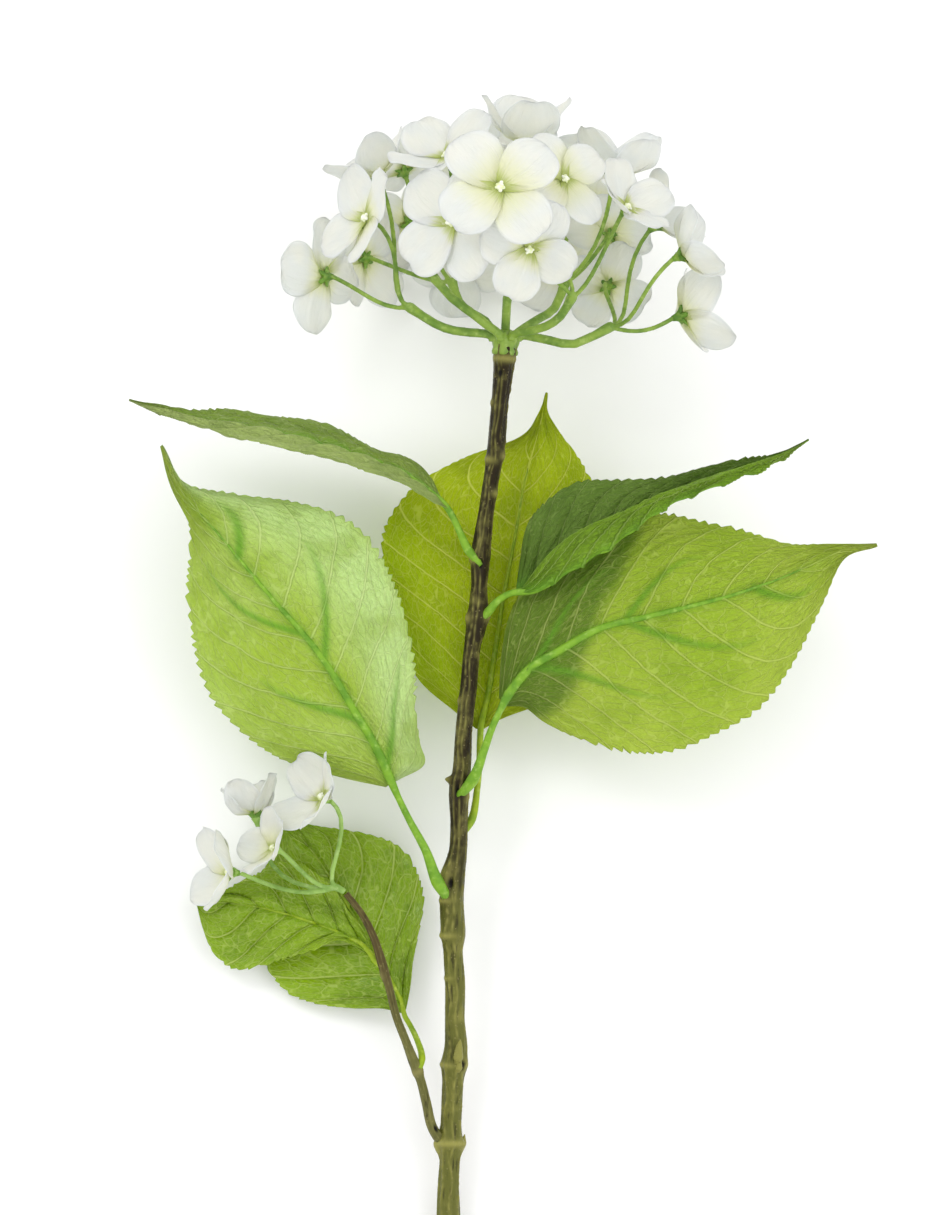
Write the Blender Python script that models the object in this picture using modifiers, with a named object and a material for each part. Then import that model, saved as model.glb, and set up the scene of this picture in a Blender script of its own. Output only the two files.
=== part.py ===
"""A cut mophead hydrangea, lying on its back: woody stem, five large leaves, a flower
head on eight branching peduncles, and a side shoot with two leaves and a small spray.

The plant is modelled in its own upright-drawn frame (X to the right, Y up the stem,
Z out of the front of the flower) in millimetres, and then laid on the ground plane.
"""
import math

import bmesh
import bpy
import numpy as np
from mathutils import Matrix, Quaternion, Vector
from mathutils.bvhtree import BVHTree

MM = 0.001
PLAY = 0.22                  # added to each face when two pieces are kept apart
PETAL_THICKNESS = 0.8
BLADE_HALF_THICKNESS = 0.45
RIB_HALF_THICKNESS = 1.0
CROWN = 0.06                 # how far each half of a blade is arched, as a share of its width
PEDICEL_RADIUS = 1.05
PEDUNCLE_RADIUS = 1.95
KNOT_RADIUS = 2.35
CALYX_RADIUS = 2.6
CALYX_LENGTH = 3.2
PEDICEL_DROOP = 0.22         # how far a pedicel hangs below its chord, as a share of it
CALYX_SINK = 1.15            # from a floret's middle down to the calyx's top
CALYX_WAIST_RADIUS = 1.5
KNOT_LENGTH = 1.6
SIDE_PEDUNCLE_RADIUS = 1.45
SIDE_KNOT_RADIUS = 1.7
LOBE_SIDES = 16
INNER_RING = 0.45            # where the inner ring of a floret lies, as a share of its reach
INNER_LIFT = 0.20            # how much of the tips' lift the inner ring has
HEAD_MIDDLE = (15, 378, 0)   # florets move away from here when they are given more room

STEM_GREEN_BROWN = (0.105, 0.075, 0.026, 1.0)
SHOOT_BROWN = (0.12, 0.085, 0.03, 1.0)
LEAF_LIGHT = (0.36, 0.56, 0.13, 1.0)
LEAF_VIVID = (0.30, 0.47, 0.02, 1.0)
LEAF_GREY = (0.25, 0.38, 0.11, 1.0)
LEAF_GLOSSY = (0.18, 0.34, 0.02, 1.0)
PEDICEL_GREEN = (0.19, 0.42, 0.05, 1.0)
PETAL_WHITE = (0.87, 0.88, 0.84, 1.0)

# Main stem, from the cut end to the collar: x, y, z, radius.
MAIN_STEM = [
    (-9.0, -40, 0.0, 4.8), (-8.7, -18, 0.2, 4.5), (-8.6, 0, 0.0, 4.7), (-8.6, 12, 0.0, 4.2),
    (-8.0, 22, 0.0, 4.0), (-8.0, 29, 0.0, 5.4), (-7.6, 36, 0.0, 4.1), (-6.8, 54, 0.2, 4.2),
    (-6.4, 60, 0.3, 5.3), (-5.6, 67, 0.2, 4.6), (-6.0, 78, 0.0, 3.8), (-6.0, 94, 0.0, 4.0),
    (-6.8, 106, 0.0, 3.8), (-6.8, 112, 0.0, 5.0), (-7.2, 126, 0.0, 4.6), (-7.0, 134, 0.0, 4.9),
    (-4.8, 146, 0.0, 3.5), (-4.4, 158, 0.0, 3.4), (-4.4, 170, 0.0, 4.0), (-3.4, 178, 0.0, 3.6),
    (-2.6, 192, 0.0, 3.2), (-0.6, 212, 0.0, 3.3), (1.0, 228, 0.0, 3.2), (3.0, 239, 0.0, 4.3),
    (3.6, 252, 0.0, 3.1), (4.2, 264, 0.0, 3.9), (6.0, 278, 0.0, 3.1), (8.4, 294, 0.0, 2.9),
    (10.0, 304, 0.0, 3.5), (12.0, 326, 0.0, 3.3), (13.6, 341, 0.0, 4.2), (14.0, 348, 0.0, 5.8),
]
SIDE_STEM = [
    (-14.5, 34.2, 2.4, 2.0), (-17.6, 46, 4.0, 1.9), (-19.6, 54, 4.8, 1.8), (-22.6, 62, 5.4, 2.1),
    (-25.6, 70, 6.0, 1.7), (-29.4, 80, 6.8, 1.6), (-32.4, 92, 7.4, 1.6), (-35.0, 101, 7.8, 1.9),
    (-38.2, 111, 8.2, 1.5), (-42.6, 120, 8.6, 1.4), (-49.4, 129, 9.0, 1.3),
]

# Leaves. Petiole points: x, y, z, radius, from the stem outward. Blade stations, from
# the base to the tip: one margin, the midrib and the other margin, each x, y, z.
LEAVES = {
    "leaf_left_large": (LEAF_LIGHT, [
        (-12.9, 133.4, 5.2, 2.3), (-17.6, 146, 7.8, 1.6), (-24.0, 158, 9.5, 1.3), (-28.4, 167, 10.5, 1.2),
    ], [
        ((-33.5, 171.5, 11), (-31.2, 173.2, 11.5), (-28.8, 174.2, 11)),
        ((-50, 175, 7), (-34.8, 182, 13), (-18.8, 180, 7)),
        ((-68, 179.6, 4), (-40, 192, 15), (-19.6, 189.2, 6)),
        ((-83.2, 186.8, 3), (-47.2, 204, 17), (-22, 206, 7)),
        ((-95.2, 197.2, 4), (-54, 216, 18.5), (-22.8, 222, 8)),
        ((-103.2, 208, 5), (-60.8, 226, 19.5), (-24.8, 234, 9)),
        ((-108.8, 222, 6), (-68, 234.8, 20), (-28.4, 247.2, 9)),
        ((-111.6, 238, 6), (-78, 246, 20), (-36.8, 265.2, 9)),
        ((-112, 254, 6), (-88, 258, 19), (-50, 278, 9)),
        ((-111.6, 266.8, 7), (-98, 270, 17), (-72, 286, 9)),
        ((-112.8, 277.2, 8), (-108, 281.2, 14), (-94, 288.4, 9)),
        ((-117.6, 287.2, 9), (-115.2, 290, 11), (-111.2, 291.6, 9)),
        ((-123.6, 307.2, 5), (-123.2, 307.6, 5.5), (-122.8, 308, 5)),
    ]),
    "leaf_right_large": (LEAF_LIGHT, [
        (0.9, 174.0, 5.0, 2.1), (5.6, 186, 6.5, 1.5), (8.8, 195, 7.5, 1.3), (12.0, 202, 8.0, 1.2),
    ], [
        ((11.6, 206.8, 7.5), (13.2, 205.2, 8.2), (14.8, 203.6, 7.5)),
        ((12.2, 222, 5), (17.2, 211, 9), (21.6, 203.2, 5)),
        ((14.6, 237.2, 3), (24, 218.8, 10.5), (30.8, 197.2, 4)),
        ((24, 254, 1), (36, 226, 12), (45.2, 190, 4)),
        ((41, 268, 0), (52, 234.8, 13), (63.2, 185.6, 4)),
        ((58, 277.2, 0), (68, 238.8, 13), (80.8, 186, 4)),
        ((78, 280.4, 0), (88, 243.6, 12.5), (100.8, 194, 4)),
        ((98, 276, 1), (106, 248.4, 12), (117.2, 205.2, 4)),
        ((114.8, 272, 2), (122, 254, 11), (130, 222, 4)),
        ((129.2, 268.8, 3), (135.2, 259.6, 9.5), (139.2, 242, 5)),
        ((143.2, 267.6, 4), (148, 265.2, 7), (148.8, 261.2, 5)),
        ((162.4, 268.6, 3), (162.6, 268, 3.4), (162.8, 267.4, 3)),
    ]),
    "leaf_centre_back": (LEAF_VIVID, [
        (0.6, 158, -3.6, 1.5), (2.8, 170, -5.4, 1.2), (3.8, 182, -5.8, 1.2), (4.0, 190, -6.2, 1.2),
    ], [
        ((2.4, 194.4, -7.4), (4, 194.2, -7), (5.6, 194.4, -7.4)),
        ((-6, 201.2, -9.5), (5.2, 199.6, -8.6), (14.4, 199.2, -9.5)),
        ((-16, 209.2, -11), (6.8, 206, -9.6), (31.2, 205.2, -11)),
        ((-23.2, 218.8, -12), (8.8, 217.2, -11), (48.8, 214, -12)),
        ((-26.4, 230.8, -13), (10.8, 230, -12), (54, 230, -13)),
        ((-30.4, 246, -14), (13.2, 246, -13), (55.2, 246, -14)),
        ((-35.2, 262, -15), (16.4, 262, -14), (54, 262, -15)),
        ((-32, 280, -17), (19.6, 280, -15), (51.6, 280, -16)),
        ((-20.8, 293.2, -18), (21.6, 292, -16), (48.8, 292.8, -17)),
        ((-0.8, 304, -18), (24.8, 304, -17), (43.2, 304, -18)),
        ((21.6, 312.4, -18), (27.6, 314, -17), (36.4, 313.2, -18)),
        ((27.6, 321.2, -17), (29.2, 321.2, -16.5), (31.6, 321.2, -17)),
        ((30.4, 329.4, -15), (30.8, 329.6, -14.8), (31.2, 329.4, -15)),
    ]),
    "leaf_left_upper": (LEAF_GREY, [
        (-0.7, 266, 3.7, 1.6), (-4.0, 273, 3.6, 1.3), (-6.8, 279, 5.2, 1.2), (-8.8, 282.4, 6.0, 1.2),
    ], [
        ((-10.4, 285.0, 4.8), (-10.0, 284.2, 6.4), (-9.0, 282.6, 7.6)),
        ((-16, 294.2, 0), (-15.2, 290, 7.5), (-13.6, 285.2, 14)),
        ((-26.8, 303.2, -7), (-26, 298, 8.5), (-24.8, 290.4, 23)),
        ((-38, 307.4, -13), (-38, 303.2, 9), (-36.8, 296, 29)),
        ((-52, 314, -16), (-50, 307.6, 9), (-50, 300.8, 32)),
        ((-63.2, 317.6, -17), (-64, 310.8, 8.5), (-66, 303.6, 32)),
        ((-80.8, 320.8, -16), (-80, 314.4, 8), (-82, 308.8, 29)),
        ((-96, 323.2, -12), (-96, 317.6, 7), (-96.8, 311.6, 23)),
        ((-112, 322.8, -5), (-112, 320.2, 5), (-112, 317.6, 14)),
        ((-126, 324.2, 0), (-126, 323.4, 3), (-126, 322.6, 6)),
        ((-136.2, 326.4, 0.2), (-136.4, 326, 0.8), (-136.2, 325.6, 1.4)),
    ]),
    "leaf_right_upper": (LEAF_GREY, [
        (7.4, 241.4, 3.4, 1.5), (11.0, 245.6, 5.6, 1.3), (16.0, 248.6, 7.6, 1.2),
    ], [
        ((18.4, 250.8, 8.6), (19.2, 249.2, 8.6), (20.4, 250.4, 9.4)),
        ((19.6, 261.2, 8), (24, 250, 11), (24.8, 256.4, 16)),
        ((22.4, 274.8, 5), (32.8, 254.8, 13), (32.8, 265.2, 23)),
        ((30, 284, 4), (44, 262, 15), (43.2, 272.8, 29)),
        ((43.2, 292.4, 4), (56, 270, 16), (56.8, 280, 32)),
        ((59.2, 294, 4), (68, 278.8, 16), (68.8, 284.8, 32)),
        ((78, 295.2, 4), (82, 286.8, 15), (81.6, 290, 29)),
        ((93.2, 299.2, 4), (96, 291.6, 13), (96.8, 296, 24)),
        ((108, 302, 4), (110, 297.2, 10), (110, 299.6, 17)),
        ((122.8, 305.2, 4), (123.2, 303.6, 7), (123.6, 304.4, 10)),
        ((135.2, 310.4, 3), (135.4, 310, 3.6), (135.2, 309.6, 4.2)),
    ]),
    "side_leaf_back": (LEAF_GLOSSY, [
        (-19.2, 62.8, 3.7, 1.2), (-21.2, 70, -1.5, 1.1), (-24.2, 76, -4.0, 1.0), (-26.2, 79.4, -5.4, 1.0),
    ], [
        ((-25.6, 82.0, -6.6), (-26.6, 81.0, -6.2), (-27.8, 80.4, -6.6)),
        ((-24, 90, -8), (-28, 86, -7.4), (-35.2, 82, -8)),
        ((-22.8, 101.2, -10), (-31.2, 92.4, -8.6), (-48, 82.4, -10)),
        ((-20.4, 113.2, -11), (-35.6, 100, -9.8), (-60.8, 83.6, -11)),
        ((-18.8, 124.8, -12), (-40.8, 108.8, -11), (-72.8, 88, -13)),
        ((-21.6, 137.2, -14), (-46.4, 118, -12.5), (-80.8, 97.2, -15)),
        ((-28.8, 146.8, -16), (-52, 127.2, -14), (-84.8, 109.2, -17)),
        ((-40.8, 151.6, -18), (-58, 136.4, -16), (-85.6, 122.8, -19)),
        ((-52.8, 153.6, -20), (-64, 145.2, -18), (-83.2, 136.4, -20)),
        ((-64.8, 155.6, -21), (-69.6, 151.6, -20), (-78, 148, -21)),
        ((-75.6, 159.0, -22), (-76, 158.8, -21.6), (-76.4, 158.6, -22)),
    ]),
    "side_leaf_front": (LEAF_GLOSSY, [
        (-37.9, 102.2, 5.4, 1.1), (-39.4, 104.4, 3.6, 1.0),
    ], [
        ((-39.2, 106.0, 2.2), (-40.4, 105.4, 2.6), (-41.0, 104.2, 2.2)),
        ((-42.4, 113.2, -1.5), (-43.2, 108.4, 1.0), (-45.6, 106.8, -0.5)),
        ((-48, 120.4, -3), (-50, 112, 0), (-52.8, 110, -1.5)),
        ((-54.4, 130, -4), (-59.2, 115.6, -1), (-62.4, 106, -3)),
        ((-64.8, 138.8, -5), (-68.8, 118.8, -2), (-72.8, 102.8, -5)),
        ((-76, 141.2, -6), (-79.2, 121.6, -3), (-84.8, 99.2, -6)),
        ((-88, 134.8, -7), (-89.6, 123.6, -4), (-95.2, 98.4, -7)),
        ((-97.6, 130, -7), (-98, 124.4, -5), (-103.2, 105.2, -7)),
        ((-104.8, 127.2, -6.5), (-104.8, 124.8, -6), (-107.2, 114.8, -6.5)),
        ((-109.4, 125.0, -6.2), (-109.6, 124.8, -6), (-109.8, 124.6, -6.2)),
    ]),
}

# Peduncle branches: path from the collar to the knot where the pedicels divide.
COLLAR = (14.0, 349.3, 0.0)
COLLAR_RING = 5.0
PEDUNCLES = {
    "spray_left": (165, [(4.5, 352.6, 2.0), (-6, 353.6, 2.6), (-14, 356.4, 3.2), (-24, 362.8, 4.0)]),
    "spray_front_left": (111, [(7, 355.5, 7.5), (0, 360.8, 12), (-7.2, 366, 17), (-15.2, 374.8, 22)]),
    "spray_front_right": (58, [(22, 353, 8), (30, 354.8, 12), (36, 358.8, 16), (40.4, 366, 19)]),
    "spray_right": (5, [(22.4, 351.8, 0.6), (32, 349.8, 1.0), (42, 348.4, 1.0), (56, 355.2, 0.0)]),
    "spray_back_left": (214, [(6, 358, -5), (0, 361.6, -9), (-4.4, 366, -14), (-7.2, 374, -19)]),
    "spray_back": (265, [(14, 353, -9), (13.4, 359, -19), (13, 364, -27), (13, 370, -35)]),
    "spray_back_right": (317, [(21.6, 355, -6), (28, 359.2, -10), (34, 363.4, -14), (38.4, 374, -18)]),
    "spray_centre": (None, [(14.2, 355, 1), (14.6, 362, 4), (15.2, 370, 9), (16.2, 378, 15)]),
}
SIDE_PEDUNCLE = [(-49.9, 129.6, 9.1), (-51.4, 130.6, 9.2), (-53.2, 131.4, 9.3)]

# Florets: spray, middle of the floret, the way it faces, radius, turn in degrees, and
# how far the petals' tips stand forward of the middle (negative: curved back).
FLORETS = {
    "floret_front_upper": ("spray_centre", (11.7, 406.5, 66), (0.02, 0.38, 0.92), 26.0, 42, 1.0),
    "floret_front_lower": ("spray_front_right", (23, 383, 57), (0.32, -0.30, 0.90), 21.0, -8, 4.0),
    "floret_front_left": ("spray_front_left", (-7.0, 394, 52), (-0.52, 0.0, 0.85), 25.0, 40, 2.0),
    "floret_front_right": ("spray_front_right", (37, 411, 46), (0.5, 0.36, 0.79), 22.0, 30, 2.0),
    "floret_upper_left": ("spray_front_left", (-9, 421, 34), (-0.25, 0.80, 0.54), 22.0, 20, 9.0),
    "floret_left_front": ("spray_left", (-41, 397.5, 18), (-0.80, 0.30, 0.52), 23.0, 35, 7.0),
    "floret_left_back": ("spray_left", (-58.5, 376, -12), (-0.78, 0.05, -0.62), 23.0, 10, 4.0),
    "floret_left_upper": ("spray_left", (-37, 415, -4), (-0.45, 0.88, -0.10), 18.0, 30, 14.0),
    "floret_left_rear": ("spray_back_left", (-27, 420, -34), (-0.30, 0.78, -0.55), 20.0, 15, 6.0),
    "floret_top": ("spray_centre", (21, 428, 12), (0.08, 0.98, 0.15), 17.0, 10, 18.0),
    "floret_top_right": ("spray_back_right", (57.5, 416, -6), (0.16, 0.98, 0.08), 18.0, 40, 18.0),
    "floret_right_front": ("spray_front_right", (62, 401, 30), (0.50, 0.66, 0.56), 18.0, 20, 10.0),
    "floret_right_upper": ("spray_right", (75, 397, -14), (0.74, 0.66, -0.08), 17.0, 25, 14.0),
    "floret_right_middle": ("spray_right", (84, 383, 18), (0.88, 0.45, 0.10), 16.0, 40, 13.0),
    "floret_right_low": ("spray_right", (85, 360, -8), (0.88, 0.25, -0.40), 20.0, 42, 13.0),
    "floret_inner_right": ("spray_back_right", (57, 394, -36), (0.42, 0.35, -0.84), 19.0, 5, -1.0),
    "floret_under_right": ("spray_right", (56, 373, -32), (0.25, -0.20, -0.95), 19.0, 30, -2.0),
    "floret_back_left": ("spray_back_left", (-4, 383, -60), (-0.15, -0.15, -0.98), 22.0, 5, -3.0),
    "floret_back_right": ("spray_back", (36, 384, -65), (0.20, -0.12, -0.97), 22.0, 30, -3.0),
    "floret_rear_left": ("spray_back_left", (-43, 385, -46), (-0.72, 0.0, -0.69), 22.0, 40, -3.0),
    "floret_rear_upper_left": ("spray_back", (-24, 400, -60), (-0.36, 0.30, -0.88), 22.0, 20, -3.0),
    "floret_rear_middle": ("spray_back", (14, 408, -57), (0.0, 0.30, -0.95), 21.0, 45, -3.0),
    "floret_rear_upper_right": ("spray_back_right", (46, 406, -60), (0.33, 0.40, -0.85), 21.0, 30, -3.0),
    "floret_crown_left": ("spray_back", (-3, 428, -34), (-0.15, 0.85, -0.50), 20.0, 35, 5.0),
    "floret_crown_right": ("spray_back", (30, 428, -38), (0.20, 0.85, -0.49), 20.0, 5, 5.0),
    "side_floret_upper": ("side_spray", (-58.6, 167.5, 16), (-0.78, 0.38, 0.50), 18.5, 48, 12.0),
    "side_floret_middle": ("side_spray", (-78, 147.4, 18), (-0.74, 0.46, 0.44), 14.5, 20, 9.0),
    "side_floret_outer": ("side_spray", (-95.6, 137.5, 9), (-0.93, 0.10, 0.34), 18.0, 35, 12.0),
    "side_floret_far": ("side_spray", (-86, 160, -4), (-0.20, 0.96, -0.12), 10.5, 10, 14.0),
}


def vector(values):
    return Vector(values[:3])


def make_material(name, color, roughness, metallic=0.0):
    material = bpy.data.materials.new(name)
    material.use_nodes = True
    shader = material.node_tree.nodes["Principled BSDF"]
    shader.inputs["Base Color"].default_value = color
    shader.inputs["Roughness"].default_value = roughness
    shader.inputs["Metallic"].default_value = metallic
    return material


def clear_scene():
    for thing in list(bpy.data.objects):
        bpy.data.objects.remove(thing, do_unlink=True)


def add_object(name, mesh, material):
    thing = bpy.data.objects.new(name, mesh)
    mesh.materials.clear()
    mesh.materials.append(material)
    plant_parts.objects.link(thing)
    return thing


def section_frames(points):
    """Tangent and two cross directions at each point of a path, without twist."""
    frames = []
    side = None
    for index, point in enumerate(points):
        before = points[max(index - 1, 0)]
        after = points[min(index + 1, len(points) - 1)]
        tangent = (after - before).normalized()
        if side is None:
            start = Vector((0, 0, 1))
            if abs(tangent.z) > 0.9:
                start = Vector((1, 0, 0))
            side = (start - tangent * start.dot(tangent)).normalized()
        else:
            side = (side - tangent * side.dot(tangent)).normalized()
        frames.append((tangent, side, tangent.cross(side)))
    return frames


def loft_mesh(name, rings):
    """Closed skin over rings that have the same number of points."""
    mesh = bpy.data.meshes.new(name)
    skin = bmesh.new()
    loops = [[skin.verts.new(point * MM) for point in ring] for ring in rings]
    count = len(rings[0])
    for near, far in zip(loops, loops[1:]):
        for index in range(count):
            following = (index + 1) % count
            skin.faces.new((near[index], near[following], far[following], far[index]))
    skin.faces.new(list(reversed(loops[0])))
    skin.faces.new(loops[-1])
    if skin.calc_volume(signed=True) < 0:
        bmesh.ops.reverse_faces(skin, faces=skin.faces)
    skin.to_mesh(mesh)
    skin.free()
    return mesh


def tube_rings(path, sides, extra=0.0):
    points = [vector(entry) for entry in path]
    rings = []
    for entry, (_, side, across) in zip(path, section_frames(points)):
        radius = entry[3] + extra
        ring = []
        for index in range(sides):
            angle = 2 * math.pi * index / sides
            away = side * math.cos(angle) + across * math.sin(angle)
            ring.append(vector(entry) + away * radius)
        rings.append(ring)
    return rings


def tube_object(name, path, sides, material):
    """Round stem drawn as a curve whose thickness follows the radii of its points."""
    curve = bpy.data.curves.new(name, "CURVE")
    curve.dimensions = "3D"
    curve.bevel_depth = MM
    curve.bevel_resolution = (sides - 4) // 2
    curve.use_fill_caps = True
    spline = curve.splines.new("POLY")
    spline.points.add(len(path) - 1)
    for point, entry in zip(spline.points, path):
        point.co = (entry[0] * MM, entry[1] * MM, entry[2] * MM, 1.0)
        point.radius = entry[3]
    guide = bpy.data.objects.new(name + "_curve", curve)
    plant_parts.objects.link(guide)
    graph = bpy.context.evaluated_depsgraph_get()
    mesh = bpy.data.meshes.new_from_object(guide.evaluated_get(graph))
    bpy.data.objects.remove(guide, do_unlink=True)
    weld = bmesh.new()
    weld.from_mesh(mesh)
    bmesh.ops.remove_doubles(weld, verts=weld.verts, dist=0.00001)
    bmesh.ops.recalc_face_normals(weld, faces=weld.faces)
    weld.to_mesh(mesh)
    weld.free()
    mesh.name = name
    return add_object(name, mesh, material)


def leaf_rings(petiole, stations):
    """Round petiole that flattens into a thin blade with a thicker midrib."""
    middles = [vector(entry) for entry in petiole] + [Vector(station[1]) for station in stations]
    first_margin, first_middle, last_margin = (Vector(point) for point in stations[0])
    rings = []
    for index, middle in enumerate(middles):
        tangent = (middles[min(index + 1, len(middles) - 1)] - middles[max(index - 1, 0)]).normalized()
        if index < len(petiole):
            margin_way = last_margin - first_margin
            margin_way = (margin_way - tangent * margin_way.dot(tangent)).normalized()
            outward = margin_way.cross(tangent)
            radius = petiole[index][3]
            ring = []
            for step in range(8):
                angle = math.pi * step / 4
                away = outward * math.sin(angle) - margin_way * math.cos(angle)
                ring.append(middle + away * radius)
            rings.append(ring)
            continue
        one, ridge, two = (Vector(point) for point in stations[index - len(petiole)])
        one_normal = (ridge - one).cross(tangent).normalized()
        two_normal = (two - ridge).cross(tangent).normalized()
        normal = (one_normal + two_normal).normalized()
        spread = min(1.0, (two - one).length / 12)
        rib = normal * (RIB_HALF_THICKNESS * (0.35 + 0.65 * spread))
        one_half = (one + ridge) / 2 + one_normal * (CROWN * (one - ridge).length)
        two_half = (two + ridge) / 2 + two_normal * (CROWN * (two - ridge).length)
        one_skin = one_normal * BLADE_HALF_THICKNESS
        two_skin = two_normal * BLADE_HALF_THICKNESS
        rings.append([
            one, one_half + one_skin, ridge + rib, two_half + two_skin,
            two, two_half - two_skin, ridge - rib, one_half - one_skin,
        ])
    return rings


def lobe_outline(angle):
    """Share of the radius that four rounded petals reach in each direction."""
    wave = abs(math.cos(2 * angle))
    return 0.56 + 0.44 * wave ** 0.6


def floret_points(radius, lift, seed):
    """Middle, inner ring and outer ring of a four-petalled sheet that faces +Z."""
    chance = np.random.default_rng(seed)
    petal_lift = chance.uniform(-1.2, 1.2, 4)
    petal_reach = chance.uniform(0.95, 1.0, 4)
    inner = []
    outer = []
    for index in range(LOBE_SIDES):
        angle = 2 * math.pi * index / LOBE_SIDES
        petal = int((index + 2) / 4) % 4
        reach = radius * lobe_outline(angle)
        if index % 4 == 2:
            raised = lift * 0.3
        else:
            reach *= petal_reach[petal]
            raised = lift + petal_lift[petal] * (reach / radius) ** 2
        near = INNER_RING * reach
        inner.append(Vector((near * math.cos(angle), near * math.sin(angle), INNER_LIFT * raised)))
        outer.append(Vector((reach * math.cos(angle), reach * math.sin(angle), raised)))
    return inner, outer


def facing_matrix(middle, facing, turn):
    """Placement whose Z axis is the facing direction and whose X axis is turned about it."""
    forward = facing.normalized()
    level = Vector((0, 1, 0)).cross(forward)
    if level.length < 0.2:
        level = Vector((1, 0, 0)) - forward * forward.x
    level.normalize()
    upward = forward.cross(level)
    basis = Matrix((level, upward, forward)).transposed()
    return Matrix.Translation(middle) @ (basis @ Matrix.Rotation(turn, 3, "Z")).to_4x4()


def floret_shell(radius, lift, seed, placement):
    """Slightly thickened closed copy of a floret, for keeping its neighbours clear."""
    inner, outer = floret_points(radius + PLAY, lift, seed)
    half = Vector((0, 0, PETAL_THICKNESS / 2 + PLAY))
    flat = [Vector((0, 0, 0))] + inner + outer
    points = [placement @ (point + half) for point in flat] + [placement @ (point - half) for point in flat]
    shift = len(flat)
    faces = []
    for index in range(LOBE_SIDES):
        following = (index + 1) % LOBE_SIDES
        near, near_next = 1 + index, 1 + following
        far, far_next = near + LOBE_SIDES, near_next + LOBE_SIDES
        for base in (0, shift):
            faces.append((base, base + near, base + near_next))
            faces.append((base + near, base + far, base + far_next, base + near_next))
        faces.append((far, far_next, far_next + shift, far + shift))
    return BVHTree.FromPolygons(points, faces)


def tube_shell(path, sides=6):
    rings = tube_rings(path, sides, PLAY)
    points = [point for ring in rings for point in ring]
    faces = []
    for level in range(len(rings) - 1):
        for index in range(sides):
            following = (index + 1) % sides
            low = level * sides
            faces.append((low + index, low + following, low + sides + following, low + sides + index))
    faces.append(tuple(range(sides)))
    faces.append(tuple(len(points) - sides + index for index in range(sides)))
    return BVHTree.FromPolygons(points, faces)


def mesh_shell(mesh):
    points = [vertex.co / MM for vertex in mesh.vertices]
    return BVHTree.FromPolygons(points, [tuple(face.vertices) for face in mesh.polygons])


def pedicel_path(knot, knot_way, middle, facing):
    """Curved stalk from the knot to under a floret, ending in its cup-shaped calyx."""
    forward = facing.normalized()
    foot = middle - forward * (CALYX_SINK + CALYX_LENGTH)
    reach = (foot - knot).length
    droop = Vector((0, -PEDICEL_DROOP * reach, 0))
    one = knot + (knot_way * 0.5 + (foot - knot).normalized() * 0.5).normalized() * reach * 0.38 + droop
    two = foot - forward * reach * 0.42 + droop * 0.6
    path = []
    for share in (0.0, 0.14, 0.28, 0.42, 0.56, 0.70, 0.82, 0.92, 1.0):
        rest = 1 - share
        point = knot * rest ** 3 + one * (3 * rest ** 2 * share)
        point += two * (3 * rest * share ** 2) + foot * share ** 3
        path.append((*point, PEDICEL_RADIUS))
    waist = foot + forward * (0.45 * CALYX_LENGTH)
    rim = foot + forward * CALYX_LENGTH
    path.append((*waist, CALYX_WAIST_RADIUS))
    path.append((*rim, CALYX_RADIUS))
    return path


def rounded(points):
    """The same route with a point more between each two, so that its bends are round."""
    route = [points[0]]
    for index in range(len(points) - 1):
        before = points[max(index - 1, 0)]
        after = points[min(index + 2, len(points) - 1)]
        near, far = points[index], points[index + 1]
        route.append((near + far) / 2 + (near - before + far - after) / 16)
        route.append(far)
    return route


def peduncle_path(name):
    if name == "side_spray":
        points = [Vector(point) for point in SIDE_PEDUNCLE]
        thick = SIDE_PEDUNCLE_RADIUS
        knot_radius = SIDE_KNOT_RADIUS
    else:
        bearing, way = PEDUNCLES[name]
        foot = Vector(COLLAR)
        if bearing is not None:
            angle = math.radians(bearing)
            foot += Vector((math.cos(angle), 0, math.sin(angle))) * COLLAR_RING
        points = [foot, foot + Vector((0, 2.2, 0)) + (Vector(way[0]) - foot) * 0.12]
        points += [Vector(point) for point in way]
        points = rounded(points)
        thick = PEDUNCLE_RADIUS
        knot_radius = KNOT_RADIUS
    path = [(*point, thick) for point in points]
    path[-1] = (*points[-1], knot_radius)
    onward = (points[-1] - points[-2]).normalized()
    path.append((*(points[-1] + onward * KNOT_LENGTH), knot_radius * 0.8))
    return path


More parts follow.
